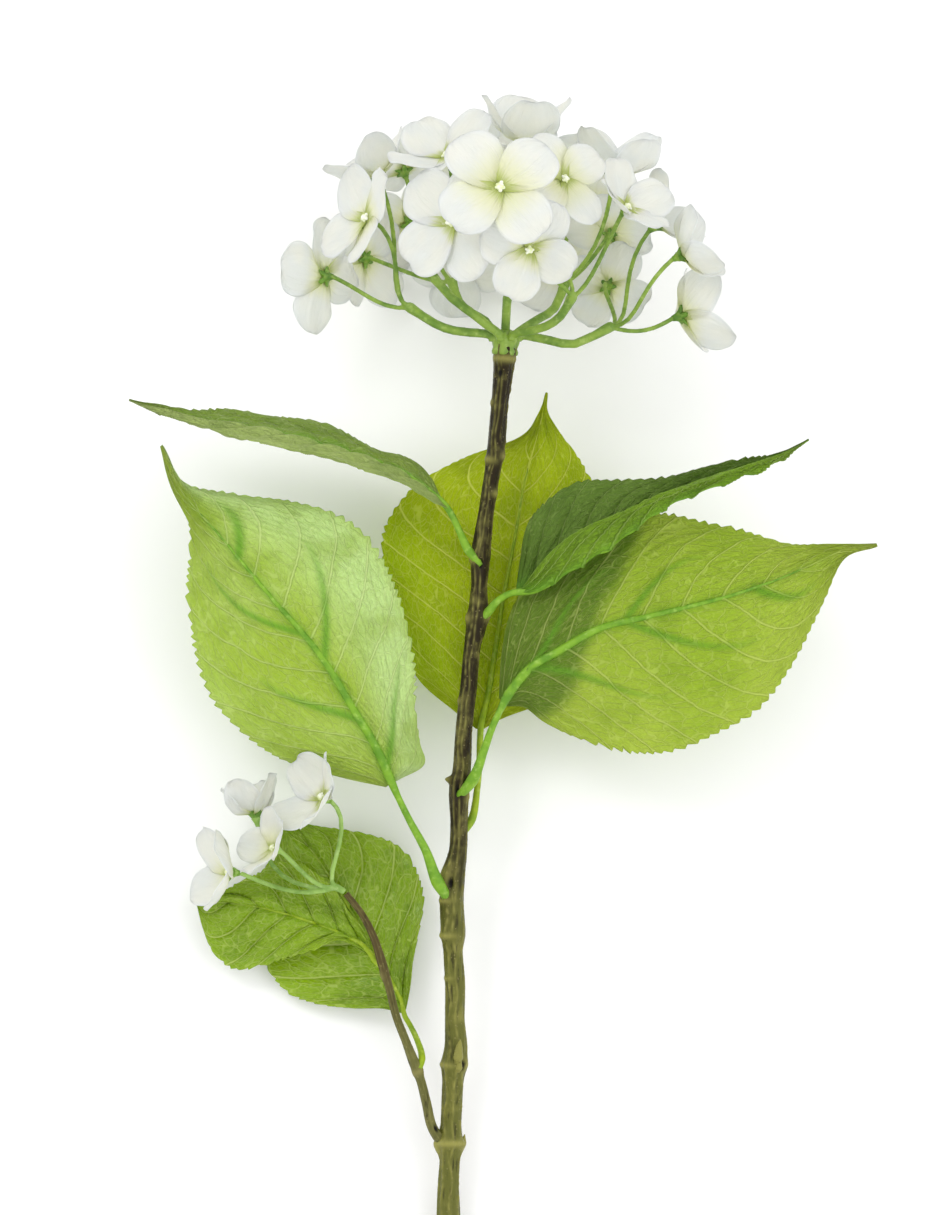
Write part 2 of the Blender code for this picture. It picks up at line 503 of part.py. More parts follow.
def settle_florets(blockers):
    """Find for each floret the place nearest its wanted one where nothing touches."""
    peduncles = {name: peduncle_path(name) for name in list(PEDUNCLES) + ["side_spray"]}
    wood = {name: tube_shell(path) for name, path in peduncles.items()}
    settled = {}
    sheets = []
    stalks = []
    offsets = (0, 2, -2, 4, -4, 6, -6, 8, -8, 10, -10, 13, -13)
    tilts = ((0, 0), (9, 0), (-9, 0), (0, 9), (0, -9), (16, 0), (-16, 0), (0, 16), (0, -16))
    for order, (name, (spray, middle, facing, radius, turn, lift)) in enumerate(FLORETS.items()):
        path = peduncles[spray]
        knot = vector(path[-2])
        knot_way = (vector(path[-1]) - knot).normalized()
        wanted = Vector(middle)
        facing = Vector(facing).normalized()
        outward = (wanted - Vector(HEAD_MIDDLE)).normalized()
        if spray == "side_spray":
            outward = (wanted - knot).normalized()
        choice = None
        for shrink in (1.0, 0.93, 0.86, 0.78):
            for away in offsets:
                for tilt_x, tilt_y in tilts:
                    sway = Quaternion((1, 0, 0), math.radians(tilt_x))
                    sway = sway @ Quaternion((0, 1, 0), math.radians(tilt_y))
                    aim = sway @ facing
                    place = wanted + outward * away
                    stalk_path = pedicel_path(knot, knot_way, place, aim)
                    stalk = tube_shell(stalk_path)
                    if any(stalk.overlap(sheet) for sheet in sheets + blockers):
                        continue
                    if any(stalk.overlap(other) for owner, other in stalks if owner != spray):
                        continue
                    if any(stalk.overlap(other) for owner, other in wood.items() if owner != spray):
                        continue
                    for spin in (0, 15, -15, 30, -30, 45):
                        angle = math.radians(turn + spin)
                        placement = facing_matrix(place, aim, angle)
                        sheet = floret_shell(radius * shrink, lift, order, placement)
                        if any(sheet.overlap(other) for other in sheets + blockers):
                            continue
                        if any(sheet.overlap(other) for _, other in stalks):
                            continue
                        if any(sheet.overlap(other) for other in wood.values()):
                            continue
                        choice = (placement, radius * shrink, stalk_path, sheet, stalk)
                        break
                    if choice:
                        break
                if choice:
                    break
            if choice:
                break
        if choice is None:
            raise ValueError("no clear place for " + name)
        sheets.append(choice[3])
        stalks.append((spray, choice[4]))
        settled[name] = (spray, choice[0], choice[1], lift, order, choice[2])
    return peduncles, settled


def floret_object(name, placement, radius, lift, seed, material):
    """Thin four-petalled sheet: a fan of faces widened by one ring and made solid."""
    inner, outer = floret_points(radius, lift, seed)
    sheet = bmesh.new()
    bmesh.ops.create_circle(sheet, cap_ends=True, cap_tris=True, segments=LOBE_SIDES, radius=1.0)
    rim = [edge for edge in sheet.edges if edge.is_boundary]
    grown = bmesh.ops.extrude_edge_only(sheet, edges=rim)["geom"]
    grown = {item for item in grown if isinstance(item, bmesh.types.BMVert)}
    for vertex in sheet.verts:
        turn = math.atan2(vertex.co.y, vertex.co.x)
        index = round(turn / (2 * math.pi) * LOBE_SIDES) % LOBE_SIDES
        if vertex.co.length < 0.5:
            vertex.co = (0, 0, 0)
        elif vertex in grown:
            vertex.co = outer[index] * MM
        else:
            vertex.co = inner[index] * MM
    bmesh.ops.recalc_face_normals(sheet, faces=sheet.faces)
    mesh = bpy.data.meshes.new(name)
    sheet.to_mesh(mesh)
    sheet.free()
    thing = add_object(name, mesh, material)
    solid = thing.modifiers.new("petal_thickness", "SOLIDIFY")
    solid.thickness = PETAL_THICKNESS * MM
    solid.offset = 0.0
    place = placement.copy()
    place.translation *= MM
    thing.matrix_world = place
    return thing


def spray_object(name, trunk_path, stalk_paths, material):
    """One grown piece: a peduncle joined to all its pedicels and their calyxes."""
    trunk = tube_object(name, trunk_path, 6, material)
    for index, path in enumerate(stalk_paths):
        stalk = tube_object(name + "_pedicel", path, 6, material)
        stalk.hide_render = True
        stalk.display_type = "WIRE"
        joining = trunk.modifiers.new("pedicel_%d" % index, "BOOLEAN")
        joining.operation = "UNION"
        joining.solver = "EXACT"
        joining.object = stalk
        graph = bpy.context.evaluated_depsgraph_get()
        joined = bpy.data.meshes.new_from_object(trunk.evaluated_get(graph))
        trunk.modifiers.clear()
        trunk.data = joined
        bpy.data.objects.remove(stalk, do_unlink=True)
    trunk.data.name = name
    return trunk


def lowest(points, weights, wanted):
    rows = points[wanted]
    return rows[int(np.argmin(rows @ weights))]


def lay_down(base):
    """Rest the plant on its cut end and on two back florets, one on each side."""
    graph = bpy.context.evaluated_depsgraph_get()
    rows = []
    for thing in plant_parts.objects:
        if thing.type != "MESH":
            continue
        mesh = thing.evaluated_get(graph).to_mesh()
        rows += [thing.matrix_world @ vertex.co for vertex in mesh.vertices]
    points = np.array([tuple(row) for row in rows])
    stem_end = points[:, 1] < -0.03
    head_left = (points[:, 1] > 0.345) & (points[:, 0] < 0.012)
    head_right = (points[:, 1] > 0.345) & (points[:, 0] > 0.012)
    upward = np.array([0.0, 0.0, 1.0])
    for _ in range(12):
        foot = lowest(points, upward, stem_end)
        left = lowest(points, upward, head_left)
        right = lowest(points, upward, head_right)
        upward = np.cross(right - foot, left - foot)
        upward /= np.linalg.norm(upward)
    turn = Vector(upward).rotation_difference(Vector((0, 0, 1)))
    placed = np.array([tuple(turn @ Vector(row)) for row in points])
    low = placed.min(axis=0)
    high = placed.max(axis=0)
    base.rotation_mode = "QUATERNION"
    base.rotation_quaternion = turn
    base.location = (-(low[0] + high[0]) / 2, -(low[1] + high[1]) / 2, -low[2])


clear_scene()
plant_parts = bpy.data.collections.new("cut_hydrangea")
bpy.context.scene.collection.children.link(plant_parts)

wood_material = make_material("stem_wood", STEM_GREEN_BROWN, 0.6)
shoot_material = make_material("shoot_wood", SHOOT_BROWN, 0.6)
pedicel_material = make_material("pedicel_green", PEDICEL_GREEN, 0.5)
petal_material = make_material("petal_white", PETAL_WHITE, 0.75)

main_stem = tube_object("main_stem", MAIN_STEM, 10, wood_material)
side_stem = tube_object("side_stem", SIDE_STEM, 8, shoot_material)
leaves = []
for leaf_name, (leaf_color, leaf_petiole, leaf_stations) in LEAVES.items():
    leaf_material = make_material(leaf_name + "_green", leaf_color, 0.5)
    leaf_mesh = loft_mesh(leaf_name, leaf_rings(leaf_petiole, leaf_stations))
    leaves.append(add_object(leaf_name, leaf_mesh, leaf_material))

solid_shells = [mesh_shell(thing.data) for thing in [main_stem, side_stem] + leaves]
trunk_paths, settled_florets = settle_florets(solid_shells)
for floret_name, (_, floret_place, floret_radius, floret_lift, floret_seed, _) in settled_florets.items():
    floret_object(floret_name, floret_place, floret_radius, floret_lift, floret_seed, petal_material)
for spray_name, trunk_way in trunk_paths.items():
    pedicels = [entry[5] for entry in settled_florets.values() if entry[0] == spray_name]
    spray_object(spray_name, trunk_way, pedicels, pedicel_material)

ground_base = bpy.data.objects.new("ground_base", None)
plant_parts.objects.link(ground_base)
bpy.context.view_layer.update()
lay_down(ground_base)
for piece in list(plant_parts.objects):
    if piece.type == "MESH":
        piece.parent = ground_base
        piece.data.shade_smooth()
        piece.data.set_sharp_from_angle(angle=math.radians(40))
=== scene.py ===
"""Visual model of a cut mophead hydrangea lying on a pale floor.

Every shape is measured from the frame's nodes: stems and leaves from their rings of
points, florets from their lobes, peduncles from their solids.
"""

import math

import bpy
import numpy as np
from mathutils import Matrix, Vector


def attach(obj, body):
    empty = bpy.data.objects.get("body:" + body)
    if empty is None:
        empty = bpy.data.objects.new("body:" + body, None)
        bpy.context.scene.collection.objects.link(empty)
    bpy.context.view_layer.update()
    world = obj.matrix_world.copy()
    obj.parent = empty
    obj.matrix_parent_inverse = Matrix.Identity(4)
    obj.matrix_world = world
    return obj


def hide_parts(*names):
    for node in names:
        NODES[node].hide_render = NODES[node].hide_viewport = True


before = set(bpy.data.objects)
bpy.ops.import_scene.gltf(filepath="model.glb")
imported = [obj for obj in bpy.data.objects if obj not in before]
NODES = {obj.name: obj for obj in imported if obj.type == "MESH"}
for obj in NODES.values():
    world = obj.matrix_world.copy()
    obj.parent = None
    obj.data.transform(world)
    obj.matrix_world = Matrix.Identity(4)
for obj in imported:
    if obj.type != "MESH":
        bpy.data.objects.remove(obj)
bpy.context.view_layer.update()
MM = 0.001
LYING_HEIGHT = 0.25 * MM
BLADE_THICKNESS = 0.32 * MM
PETAL_THICKNESS = 0.22 * MM
CALYX_THICKNESS = 0.35 * MM


# ---------------------------------------------------------------- measuring the frame


def welded(name):
    """Distinct points of a node and its triangles."""
    mesh = NODES[name].data
    raw = np.array([tuple(vertex.co) for vertex in mesh.vertices])
    points, index = np.unique(np.round(raw, 6), axis=0, return_inverse=True)
    index = index.ravel()
    triangles = np.array([[index[corner] for corner in face.vertices] for face in mesh.polygons])
    return points, triangles


def cross_sections(name, sides):
    """Rings of points along a lofted node, from its lower flat end."""
    points, triangles = welded(name)
    corners = points[triangles]
    normals = np.cross(corners[:, 1] - corners[:, 0], corners[:, 2] - corners[:, 0])
    normals /= np.linalg.norm(normals, axis=1)[:, None]
    ring = None
    for face in np.argsort(corners[:, :, 1].mean(axis=1)):
        flat = np.abs((points - corners[face, 0]) @ normals[face]) < 6e-6
        if flat.sum() == sides:
            ring = set(np.nonzero(flat)[0])
            break
    around = [set() for _ in points]
    for triangle in triangles:
        for corner in triangle:
            around[corner].update(triangle)
    rings = []
    seen = set(ring)
    while ring:
        rings.append(points[loop_order(ring, triangles)])
        ring = set().union(*(around[corner] for corner in ring)) - seen
        seen |= ring
    return rings


def loop_order(ring, triangles):
    """Corners of a ring in the order in which they follow each other around it."""
    links = {corner: set() for corner in ring}
    for triangle in triangles:
        inside = [corner for corner in triangle if corner in ring]
        if len(inside) == 2:
            links[inside[0]].add(inside[1])
            links[inside[1]].add(inside[0])
    order = [min(ring)]
    while len(order) < len(ring):
        order.append(next(corner for corner in sorted(links[order[-1]]) if corner not in order))
    return order


def smooth(stations, values, query):
    """Cubic interpolation of rows of values given at the stations."""
    stations = np.asarray(stations, float)
    values = np.asarray(values, float)
    query = np.asarray(query, float)
    slopes = np.gradient(values, stations, axis=0)
    index = np.clip(np.searchsorted(stations, query) - 1, 0, len(stations) - 2)
    step = stations[index + 1] - stations[index]
    shape = (-1,) + (1,) * (values.ndim - 1)
    share = ((query - stations[index]) / step).reshape(shape)
    step = step.reshape(shape)
    start, end = values[index], values[index + 1]
    leaving, arriving = slopes[index] * step, slopes[index + 1] * step
    return (
        start * (2 * share**3 - 3 * share**2 + 1)
        + leaving * (share**3 - 2 * share**2 + share)
        + end * (3 * share**2 - 2 * share**3)
        + arriving * (share**3 - share**2)
    )


def lengths(points):
    """Distance travelled along a path at each of its points."""
    return np.concatenate([[0.0], np.cumsum(np.linalg.norm(np.diff(points, axis=0), axis=1))])


def unit(vectors):
    """Vectors of length one in the same directions."""
    vectors = np.asarray(vectors, float)
    return vectors / np.maximum(np.linalg.norm(vectors, axis=-1, keepdims=True), 1e-12)


def turn_gap(angle, bearing):
    """How far an angle is from a bearing, the short way round."""
    return np.abs((angle - bearing + math.pi) % (2 * math.pi) - math.pi)


def middle_line(rings):
    """Middles and mean radii of a stem's rings."""
    centres = np.array([ring.mean(axis=0) for ring in rings])
    radii = np.array([np.linalg.norm(ring - ring.mean(axis=0), axis=1).mean() for ring in rings])
    return centres, radii


def frames_along(path):
    """Tangent and two cross directions at each point of a path, without twist."""
    tangents = unit(np.gradient(path, axis=0))
    side = unit(np.cross(tangents[0], [0.0, 0.3, 1.0]))
    sides = []
    for tangent in tangents:
        side = unit(side - tangent * np.dot(side, tangent))
        sides.append(side)
    sides = np.array(sides)
    return tangents, sides, np.cross(tangents, sides)


def wobble(values, seed, count=5, low=0.6, high=3.0):
    """Smooth repeatable noise of about -1 to 1 over an array of numbers."""
    chance = np.random.default_rng(seed)
    total = np.zeros_like(np.asarray(values, float))
    for _ in range(count):
        total += np.sin(values * chance.uniform(low, high) * 2 * math.pi + chance.uniform(0, 2 * math.pi))
    return total / math.sqrt(count * 1.6)


# ---------------------------------------------------------------- making pieces


def grid_faces(rows, columns, closed=False):
    """Four-cornered faces over a grid of points, closed into a tube if asked."""
    faces = []
    last = columns if closed else columns - 1
    for row in range(rows - 1):
        near, far = row * columns, (row + 1) * columns
        for column in range(last):
            following = (column + 1) % columns
            faces.append((near + column, near + following, far + following, far + column))
    return faces


def end_fans(count, sides):
    """Faces that close both ends of a tube of so many points, its two end middles coming after them."""
    faces = []
    for index in range(sides):
        following = (index + 1) % sides
        faces.append((count, following, index))
        faces.append((count + 1, count - sides + index, count - sides + following))
    return faces


def make_piece(name, points, faces, material, nodes=(), uv=None, values=None):
    """A smooth mesh that rides on the plant and stands for the given nodes.

    What hangs low lies on the surface under the plant.
    """
    points = np.array(points, float)
    points[:, 2] = np.maximum(points[:, 2], LYING_HEIGHT)
    mesh = bpy.data.meshes.new(name)
    mesh.from_pydata([tuple(point) for point in points], [], faces)
    mesh.validate()
    if uv is not None:
        corner = np.zeros(len(mesh.loops), int)
        mesh.loops.foreach_get("vertex_index", corner)
        layer = mesh.uv_layers.new(name="surface")
        layer.data.foreach_set("uv", np.asarray(uv, float)[corner].ravel())
    for key, numbers in (values or {}).items():
        attribute = mesh.attributes.new(key, "FLOAT", "POINT")
        attribute.data.foreach_set("value", np.asarray(numbers, float).ravel())
    mesh.materials.append(material)
    mesh.shade_smooth()
    piece = bpy.data.objects.new(name, mesh)
    bpy.context.scene.collection.objects.link(piece)
    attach(piece, "root")
    if nodes:
        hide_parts(*nodes)
    return piece


def ring_of(first, second, radius, turn):
    """Points around a middle, at a radius that may change with the turn."""
    return first * (radius * np.cos(turn))[:, None] + second * (radius * np.sin(turn))[:, None]


def tube(path, radii, sides=12):
    """Points and faces of a round closed tube along a path."""
    path = np.asarray(path, float)
    _, side, across = frames_along(path)
    angles = np.linspace(0, 2 * math.pi, sides, endpoint=False)[None, :, None]
    ring = np.cos(angles) * side[:, None] + np.sin(angles) * across[:, None]
    points = (path[:, None] + ring * np.asarray(radii, float)[:, None, None]).reshape(-1, 3)
    count = len(points)
    points = np.vstack([points, path[0], path[-1]])
    return points, grid_faces(len(path), sides, closed=True) + end_fans(count, sides)


def join(parts):
    """One list of points and faces from several."""
    points = []
    faces = []
    shift = 0
    for part_points, part_faces in parts:
        points.append(np.asarray(part_points))
        faces += [tuple(corner + shift for corner in face) for face in part_faces]
        shift += len(part_points)
    return np.vstack(points), faces


def thicken(piece, thickness):
    """Give a sheet its thickness, half of it on each side."""
    solid = piece.modifiers.new("thickness", "SOLIDIFY")
    solid.thickness = thickness
    solid.offset = 0.0


# ---------------------------------------------------------------- materials


def srgb(code):
    """Linear colour from a six-digit code."""
    values = [int(code[index:index + 2], 16) / 255 for index in (0, 2, 4)]
    linear = [value / 12.92 if value < 0.04045 else ((value + 0.055) / 1.055) ** 2.4 for value in values]
    return (*linear, 1.0)


class Look:
    """A node material built step by step."""

    def __init__(self, name):
        self.material = bpy.data.materials.new(name)
        self.material.use_nodes = True
        self.tree = self.material.node_tree
        self.tree.nodes.clear()
        self.out = self.tree.nodes.new("ShaderNodeOutputMaterial")

    def add(self, kind, inputs=None, **settings):
        """A shader node, its inputs linked to sockets or set to values."""
        node = self.tree.nodes.new("ShaderNode" + kind)
        for key, value in settings.items():
            setattr(node, key, value)
        for key, value in (inputs or {}).items():
            if isinstance(value, bpy.types.NodeSocket):
                self.tree.links.new(value, node.inputs[key])
            else:
                node.inputs[key].default_value = value
        return node

    def math(self, operation, one, two=0.0, clamp=False):
        return self.add("Math", {0: one, 1: two}, operation=operation, use_clamp=clamp).outputs[0]

    def times(self, one, two, clamp=False):
        return self.math("MULTIPLY", one, two, clamp)

    def plus(self, one, two):
        return self.math("ADD", one, two)

    def mix(self, share, one, two):
        return self.add("Mix", {0: share, 6: one, 7: two}, data_type="RGBA").outputs[2]

    def span(self, value, low, high, to_low=0.0, to_high=1.0):
        """A value between low and high, eased into another range."""
        inputs = {0: value, 1: low, 2: high, 3: to_low, 4: to_high}
        return self.add("MapRange", inputs, interpolation_type="SMOOTHSTEP").outputs[0]

    def swing(self, value, amount):
        """A value around one half as a shift to either side of nothing."""
        return self.times(self.math("SUBTRACT", value, 0.5), amount)

    def place(self):
        return self.add("TexCoord").outputs["Object"]

    def noise(self, where, scale, detail=3.0, roughness=0.55):
        inputs = {"Vector": where, "Scale": scale, "Detail": detail, "Roughness": roughness}
        return self.add("TexNoise", inputs).outputs[0]

    def cell_edges(self, where, scale):
        inputs = {"Vector": where, "Scale": scale}
        return self.add("TexVoronoi", inputs, feature="DISTANCE_TO_EDGE").outputs[0]

    def stretched(self, where, scale):
        return self.add("Mapping", {"Vector": where, "Scale": scale}).outputs[0]

    def attribute(self, name):
        return self.add("Attribute", attribute_name=name).outputs["Fac"]

    def bump(self, height, distance, strength=1.0, after=None):
        inputs = {"Height": height, "Distance": distance, "Strength": strength}
        if after is not None:
            inputs["Normal"] = after
        return self.add("Bump", inputs).outputs[0]

    def principled(self, color, rough, normal, specular=0.5, sheen=0.0):
        inputs = {"Base Color": color, "Roughness": rough, "Normal": normal}
        inputs.update({"Specular IOR Level": specular, "Sheen Weight": sheen})
        return self.add("BsdfPrincipled", inputs)

    def finish(self, surface):
        self.tree.links.new(surface, self.out.inputs["Surface"])
        return self.material

    def finish_thin(self, share, shader, through):
        """A thin sheet: its own surface, and a share of the light that falls through it."""
        blend = self.add("MixShader", {0: share, 1: shader.outputs[0], 2: through.outputs[0]})
        return self.finish(blend.outputs[0])


def leaf_look(
    name, main, pale, deep, vein, translucent, gloss, rib_color, near=None, near_span=(-0.05, 0.05),
    shade=None, vein_strength=0.5, relief=1.0, pairs=10.0, shine=0.16, cells=(2.1, 13.0),
):
    """Leaf blade: curved side veins, a ladder of small veins between them, and mottling.

    near is the colour of one half of the blade and near_span where it fades in, from -1 at
    one margin to 1 at the other; on some leaves it is painted light, on others the underside's own
    colour. shade is painted shade: a darker colour at the blade's foot, where leaves behind and
    above keep light off it, and where it fades out along the blade. cells gives the small cells
    between two side veins and across half the blade.
    """
    look = Look(name)
    split = look.add("SeparateXYZ", {0: look.add("UVMap", uv_map="surface").outputs[0]})
    along = split.outputs[0]
    signed = look.math("SUBTRACT", look.times(split.outputs[1], 2.0), 1.0)
    across = look.math("ABSOLUTE", signed)
    where = look.place()
    curve = look.times(look.times(across, across), 0.06)
    reach = look.plus(look.times(across, 0.2), curve)
    bend = look.swing(look.noise(where, 45.0), 0.03)
    phase = look.times(look.plus(look.math("SUBTRACT", along, reach), bend), pairs)
    beat = look.math("FRACT", look.plus(phase, 0.5))
    nearest = look.math("ABSOLUTE", look.math("SUBTRACT", beat, 0.5))
    side_vein = look.span(nearest, 0.012, 0.055, 1.0, 0.0)
    middle_vein = look.span(across, 0.008, 0.030, 1.0, 0.0)
    steps = {0: look.times(phase, cells[0]), 1: look.times(signed, cells[1])}
    ladder = look.add("CombineXYZ", steps).outputs[0]
    stray = look.add("TexNoise", {"Vector": where, "Scale": 150.0}).outputs[1]
    stray = look.add("VectorMath", {0: stray, 3: 0.9}, operation="SCALE").outputs[0]
    ladder = look.add("VectorMath", {0: ladder, 1: stray}, operation="ADD").outputs[0]
    net = look.span(look.cell_edges(ladder, 1.0), 0.01, 0.085, 1.0, 0.0)
    fine_net = look.span(look.cell_edges(ladder, 2.7), 0.02, 0.16, 1.0, 0.0)
    net = look.math("MAXIMUM", look.times(net, 0.55), look.times(fine_net, 0.25))
    veins = look.math("MAXIMUM", look.math("MAXIMUM", side_vein, middle_vein), net)
    broad = look.span(look.noise(where, 16.0, 3.0), 0.34, 0.66)
    color = look.mix(broad, main, pale)
    if near is not None:
        color = look.mix(look.span(signed, *near_span), color, near)
    patch = look.span(look.noise(where, 55.0, 3.0), 0.45, 0.75, 0.0, 0.5)
    color = look.mix(patch, color, deep)
    # Painted shade: the shade colour darkens the blade's foot and fades out along the blade.
    if shade is not None:
        uneven = look.swing(look.noise(where, 30.0), 0.06)
        fade = look.plus(look.plus(along, look.times(signed, 0.2)), uneven)
        color = look.mix(look.span(fade, shade[1], shade[2], 0.85, 0.0), color, shade[0])
    margin = look.span(across, 0.90, 1.0, 0.0, 0.35)
    color = look.mix(margin, color, pale)
    speckle = look.span(look.noise(where, 900.0, 2.0), 0.3, 0.7, 0.0, 0.2)
    color = look.mix(speckle, color, deep)
    color = look.mix(look.times(veins, vein_strength), color, vein)
    rib = look.attribute("rib")
    color = look.mix(look.times(rib, 0.85), color, srgb(rib_color))
    normal = look.bump(veins, 0.00045 * relief, 0.9)
    normal = look.bump(look.noise(where, 320.0, 3.0), 0.0003 * relief, 0.5, normal)
    normal = look.bump(look.noise(where, 2600.0, 1.0), 0.00006, 0.5, normal)
    rough = look.span(look.noise(where, 130.0), 0.3, 0.7, gloss, gloss + 0.16)
    shader = look.principled(color, rough, normal, shine)
    through = look.add("BsdfTranslucent", {"Color": look.mix(0.30, color, pale), "Normal": normal})
    return look.finish_thin(translucent, shader, through)


def rib_look(name, main, deep, light):
    """Smooth raised rib or petiole with a soft mottle."""
    look = Look(name)
    where = look.place()
    color = look.mix(look.span(look.noise(where, 160.0, 4.0), 0.35, 0.7), main, deep)
    color = look.mix(look.span(look.noise(where, 420.0, 3.0), 0.5, 0.8, 0.0, 0.55), color, light)
    normal = look.bump(look.noise(where, 700.0, 3.0), 0.00016, 0.6)
    rough = look.span(look.noise(where, 200.0), 0.3, 0.7, 0.34, 0.5)
    shader = look.principled(color, rough, normal, 0.25)
    return look.finish(shader.outputs[0])


def petal_look():
    """White pleated petal with a yellow-green glow at its foot; tint tells florets apart."""
    look = Look("petal_fabric")
    split = look.add("SeparateXYZ", {0: look.add("UVMap", uv_map="surface").outputs[0]})
    along, across = split.outputs[0], split.outputs[1]
    where = look.place()
    tint = look.attribute("tint")
    centre = look.math("ABSOLUTE", look.math("SUBTRACT", look.times(across, 2.0), 1.0))

    def fan(folds, stretch):
        inputs = {0: look.times(across, folds), 1: look.times(along, stretch), 2: tint}
        return look.add("CombineXYZ", inputs).outputs[0]

    streak = look.noise(fan(26.0, 1.6), 1.0, 3.0)
    pleat = look.noise(fan(70.0, 2.2), 1.0, 2.0)
    reach = look.plus(along, look.swing(streak, 0.22))
    cloud = look.span(look.noise(where, 75.0, 2.0), 0.35, 0.7)
    glow = look.span(reach, 0.02, look.plus(0.30, look.times(tint, 0.45)), 1.0, 0.0)
    core = look.span(reach, 0.04, 0.26, 1.0, 0.0)
    color = look.mix(look.times(cloud, 0.6), srgb("F4F4EE"), srgb("EDF0F0"))
    rim = look.span(look.math("MAXIMUM", centre, look.math("POWER", along, 3.0)), 0.72, 1.0, 0.0, 0.4)
    color = look.mix(rim, color, srgb("EEF1F4"))
    color = look.mix(look.times(glow, 0.78), color, srgb("EFF0B8"))
    color = look.mix(look.times(core, 0.85), color, srgb("C6D568"))
    normal = look.bump(streak, 0.0005, 0.7)
    normal = look.bump(pleat, 0.00022, 0.8, normal)
    normal = look.bump(look.noise(where, 2200.0, 1.0), 0.00004, 0.6, normal)
    shader = look.principled(color, 0.72, normal, 0.25, 0.12)
    through = look.add("BsdfTranslucent", {"Color": color, "Normal": normal})
    return look.finish_thin(0.42, shader, through)


def bead_look():
    """Cream bead in the middle of a floret."""
    look = Look("floret_bead")
    where = look.place()
    color = look.mix(look.span(look.noise(where, 420.0, 2.0), 0.35, 0.7), srgb("F6F8EA"), srgb("DCE6A0"))
    normal = look.bump(look.noise(where, 1800.0, 2.0), 0.0001, 0.6)
    shader = look.principled(color, 0.5, normal)
    return look.finish(shader.outputs[0])


def bark_look(name, low_color, high_color, ridge, change_low, change_high):
    """Streaked bark that changes from a low to a high colour. Ridges are pale, partly their own colour and
    partly painted highlight; the grooves between streaks and the pits are darkened as painted shade.
    """
    look = Look(name)
    where = look.place()
    along = look.attribute("along")
    painted_pit_shade = look.attribute("pit_shade")
    raised = look.attribute("raised")
    around = look.stretched(where, (1.0, 0.10, 1.0))
    streak = look.noise(around, 560.0, 5.0, 0.6)
    blotch = look.noise(where, 90.0, 4.0)
    place = look.plus(along, look.swing(blotch, 0.14))
    color = look.mix(look.span(place, change_low, change_high), low_color, high_color)
    color = look.mix(look.span(blotch, 0.5, 0.75, 0.0, 0.35), color, ridge)
    # Painted shade darkens the grooves of the streaks; their crests take the pale ridge colour, partly
    # painted highlight.
    color = look.mix(look.span(streak, 0.48, 0.28, 0.0, 0.8), color, srgb("1F1A0C"))
    color = look.mix(look.span(streak, 0.54, 0.76, 0.0, 0.35), color, ridge)
    # Raised bark lines and ring lips are paler, partly their own colour and partly painted highlight.
    color = look.mix(look.times(raised, 0.7, True), color, ridge)
    spots = look.add("TexVoronoi", {"Vector": where, "Scale": 480.0}).outputs[0]
    color = look.mix(look.span(spots, 0.08, 0.20, 0.30, 0.0), color, srgb("A89C6A"))
    # Painted shade: the pits are darkened almost to black.
    color = look.mix(painted_pit_shade, color, srgb("0C0905"))
    normal = look.bump(streak, 0.0008, 0.9)
    normal = look.bump(look.noise(where, 260.0, 4.0), 0.0006, 0.7, normal)
    normal = look.bump(look.noise(where, 1300.0, 3.0), 0.0002, 0.7, normal)
    rough = look.span(streak, 0.3, 0.7, 0.50, 0.26)
    shader = look.principled(color, rough, normal, 0.16)
    return look.finish(shader.outputs[0])


def stalk_look(name, main, deep, light):
    """Green mottled stalk with a fine lengthwise grain; in the mottle, deep is painted shade and light
    painted highlight, in random patches.
    """
    look = Look(name)
    where = look.place()
    mottle = look.noise(where, 130.0, 4.0)
    # Painted shade and painted highlight, laid in random patches.
    color = look.mix(look.span(mottle, 0.36, 0.68), main, deep)
    color = look.mix(look.span(look.noise(where, 380.0, 3.0), 0.5, 0.78, 0.0, 0.5), color, light)
    normal = look.bump(look.noise(look.stretched(where, (1.0, 0.4, 1.0)), 520.0, 3.0), 0.00025, 0.6)
    rough = look.span(mottle, 0.3, 0.7, 0.38, 0.55)
    shader = look.principled(color, rough, normal)
    return look.finish(shader.outputs[0])


# ---------------------------------------------------------------- the plant's own axes

stem_centres, stem_radii = middle_line(cross_sections("main_stem", 10))
stem_radii[-1] = 0.78 * stem_radii[-1]


def tip_of(name):
    """Middle of a leaf's last ring."""
    return cross_sections(name, 8)[-1].mean(axis=0)


def floret_hubs(points, triangles):
    """The two points that most triangles share: a floret's front and back centres."""
    use = np.bincount(triangles.ravel(), minlength=len(points))
    return points[np.argsort(use)[-2:]]


# Where five landmarks stand in the upright plant, in millimetres: right, up, towards the viewer.
LANDMARKS = [
    (stem_centres[0], (-9.0, -40.0, 0.0)),
    (stem_centres[-1], (14.0, 348.0, 0.0)),
    (tip_of("leaf_left_upper"), (-136.3, 325.9, 0.8)),
    (tip_of("leaf_right_large"), (162.6, 268.0, 3.3)),
    (floret_hubs(*welded("floret_front_upper")).mean(axis=0), (11.7, 406.5, 66.0)),
]
found = np.array([place for place, _ in LANDMARKS])
drawn = np.array([place for _, place in LANDMARKS]) * MM
spread = (drawn - drawn.mean(axis=0)).T @ (found - found.mean(axis=0))
left_turn, _, right_turn = np.linalg.svd(spread)
flip = np.diag([1.0, 1.0, np.sign(np.linalg.det(right_turn.T @ left_turn.T))])
PLANT_TURN = right_turn.T @ flip @ left_turn.T
PLANT_ORIGIN = found.mean(axis=0) - PLANT_TURN @ drawn.mean(axis=0)
RIGHT, UP, OUT = PLANT_TURN[:, 0], PLANT_TURN[:, 1], PLANT_TURN[:, 2]


# ---------------------------------------------------------------- leaves


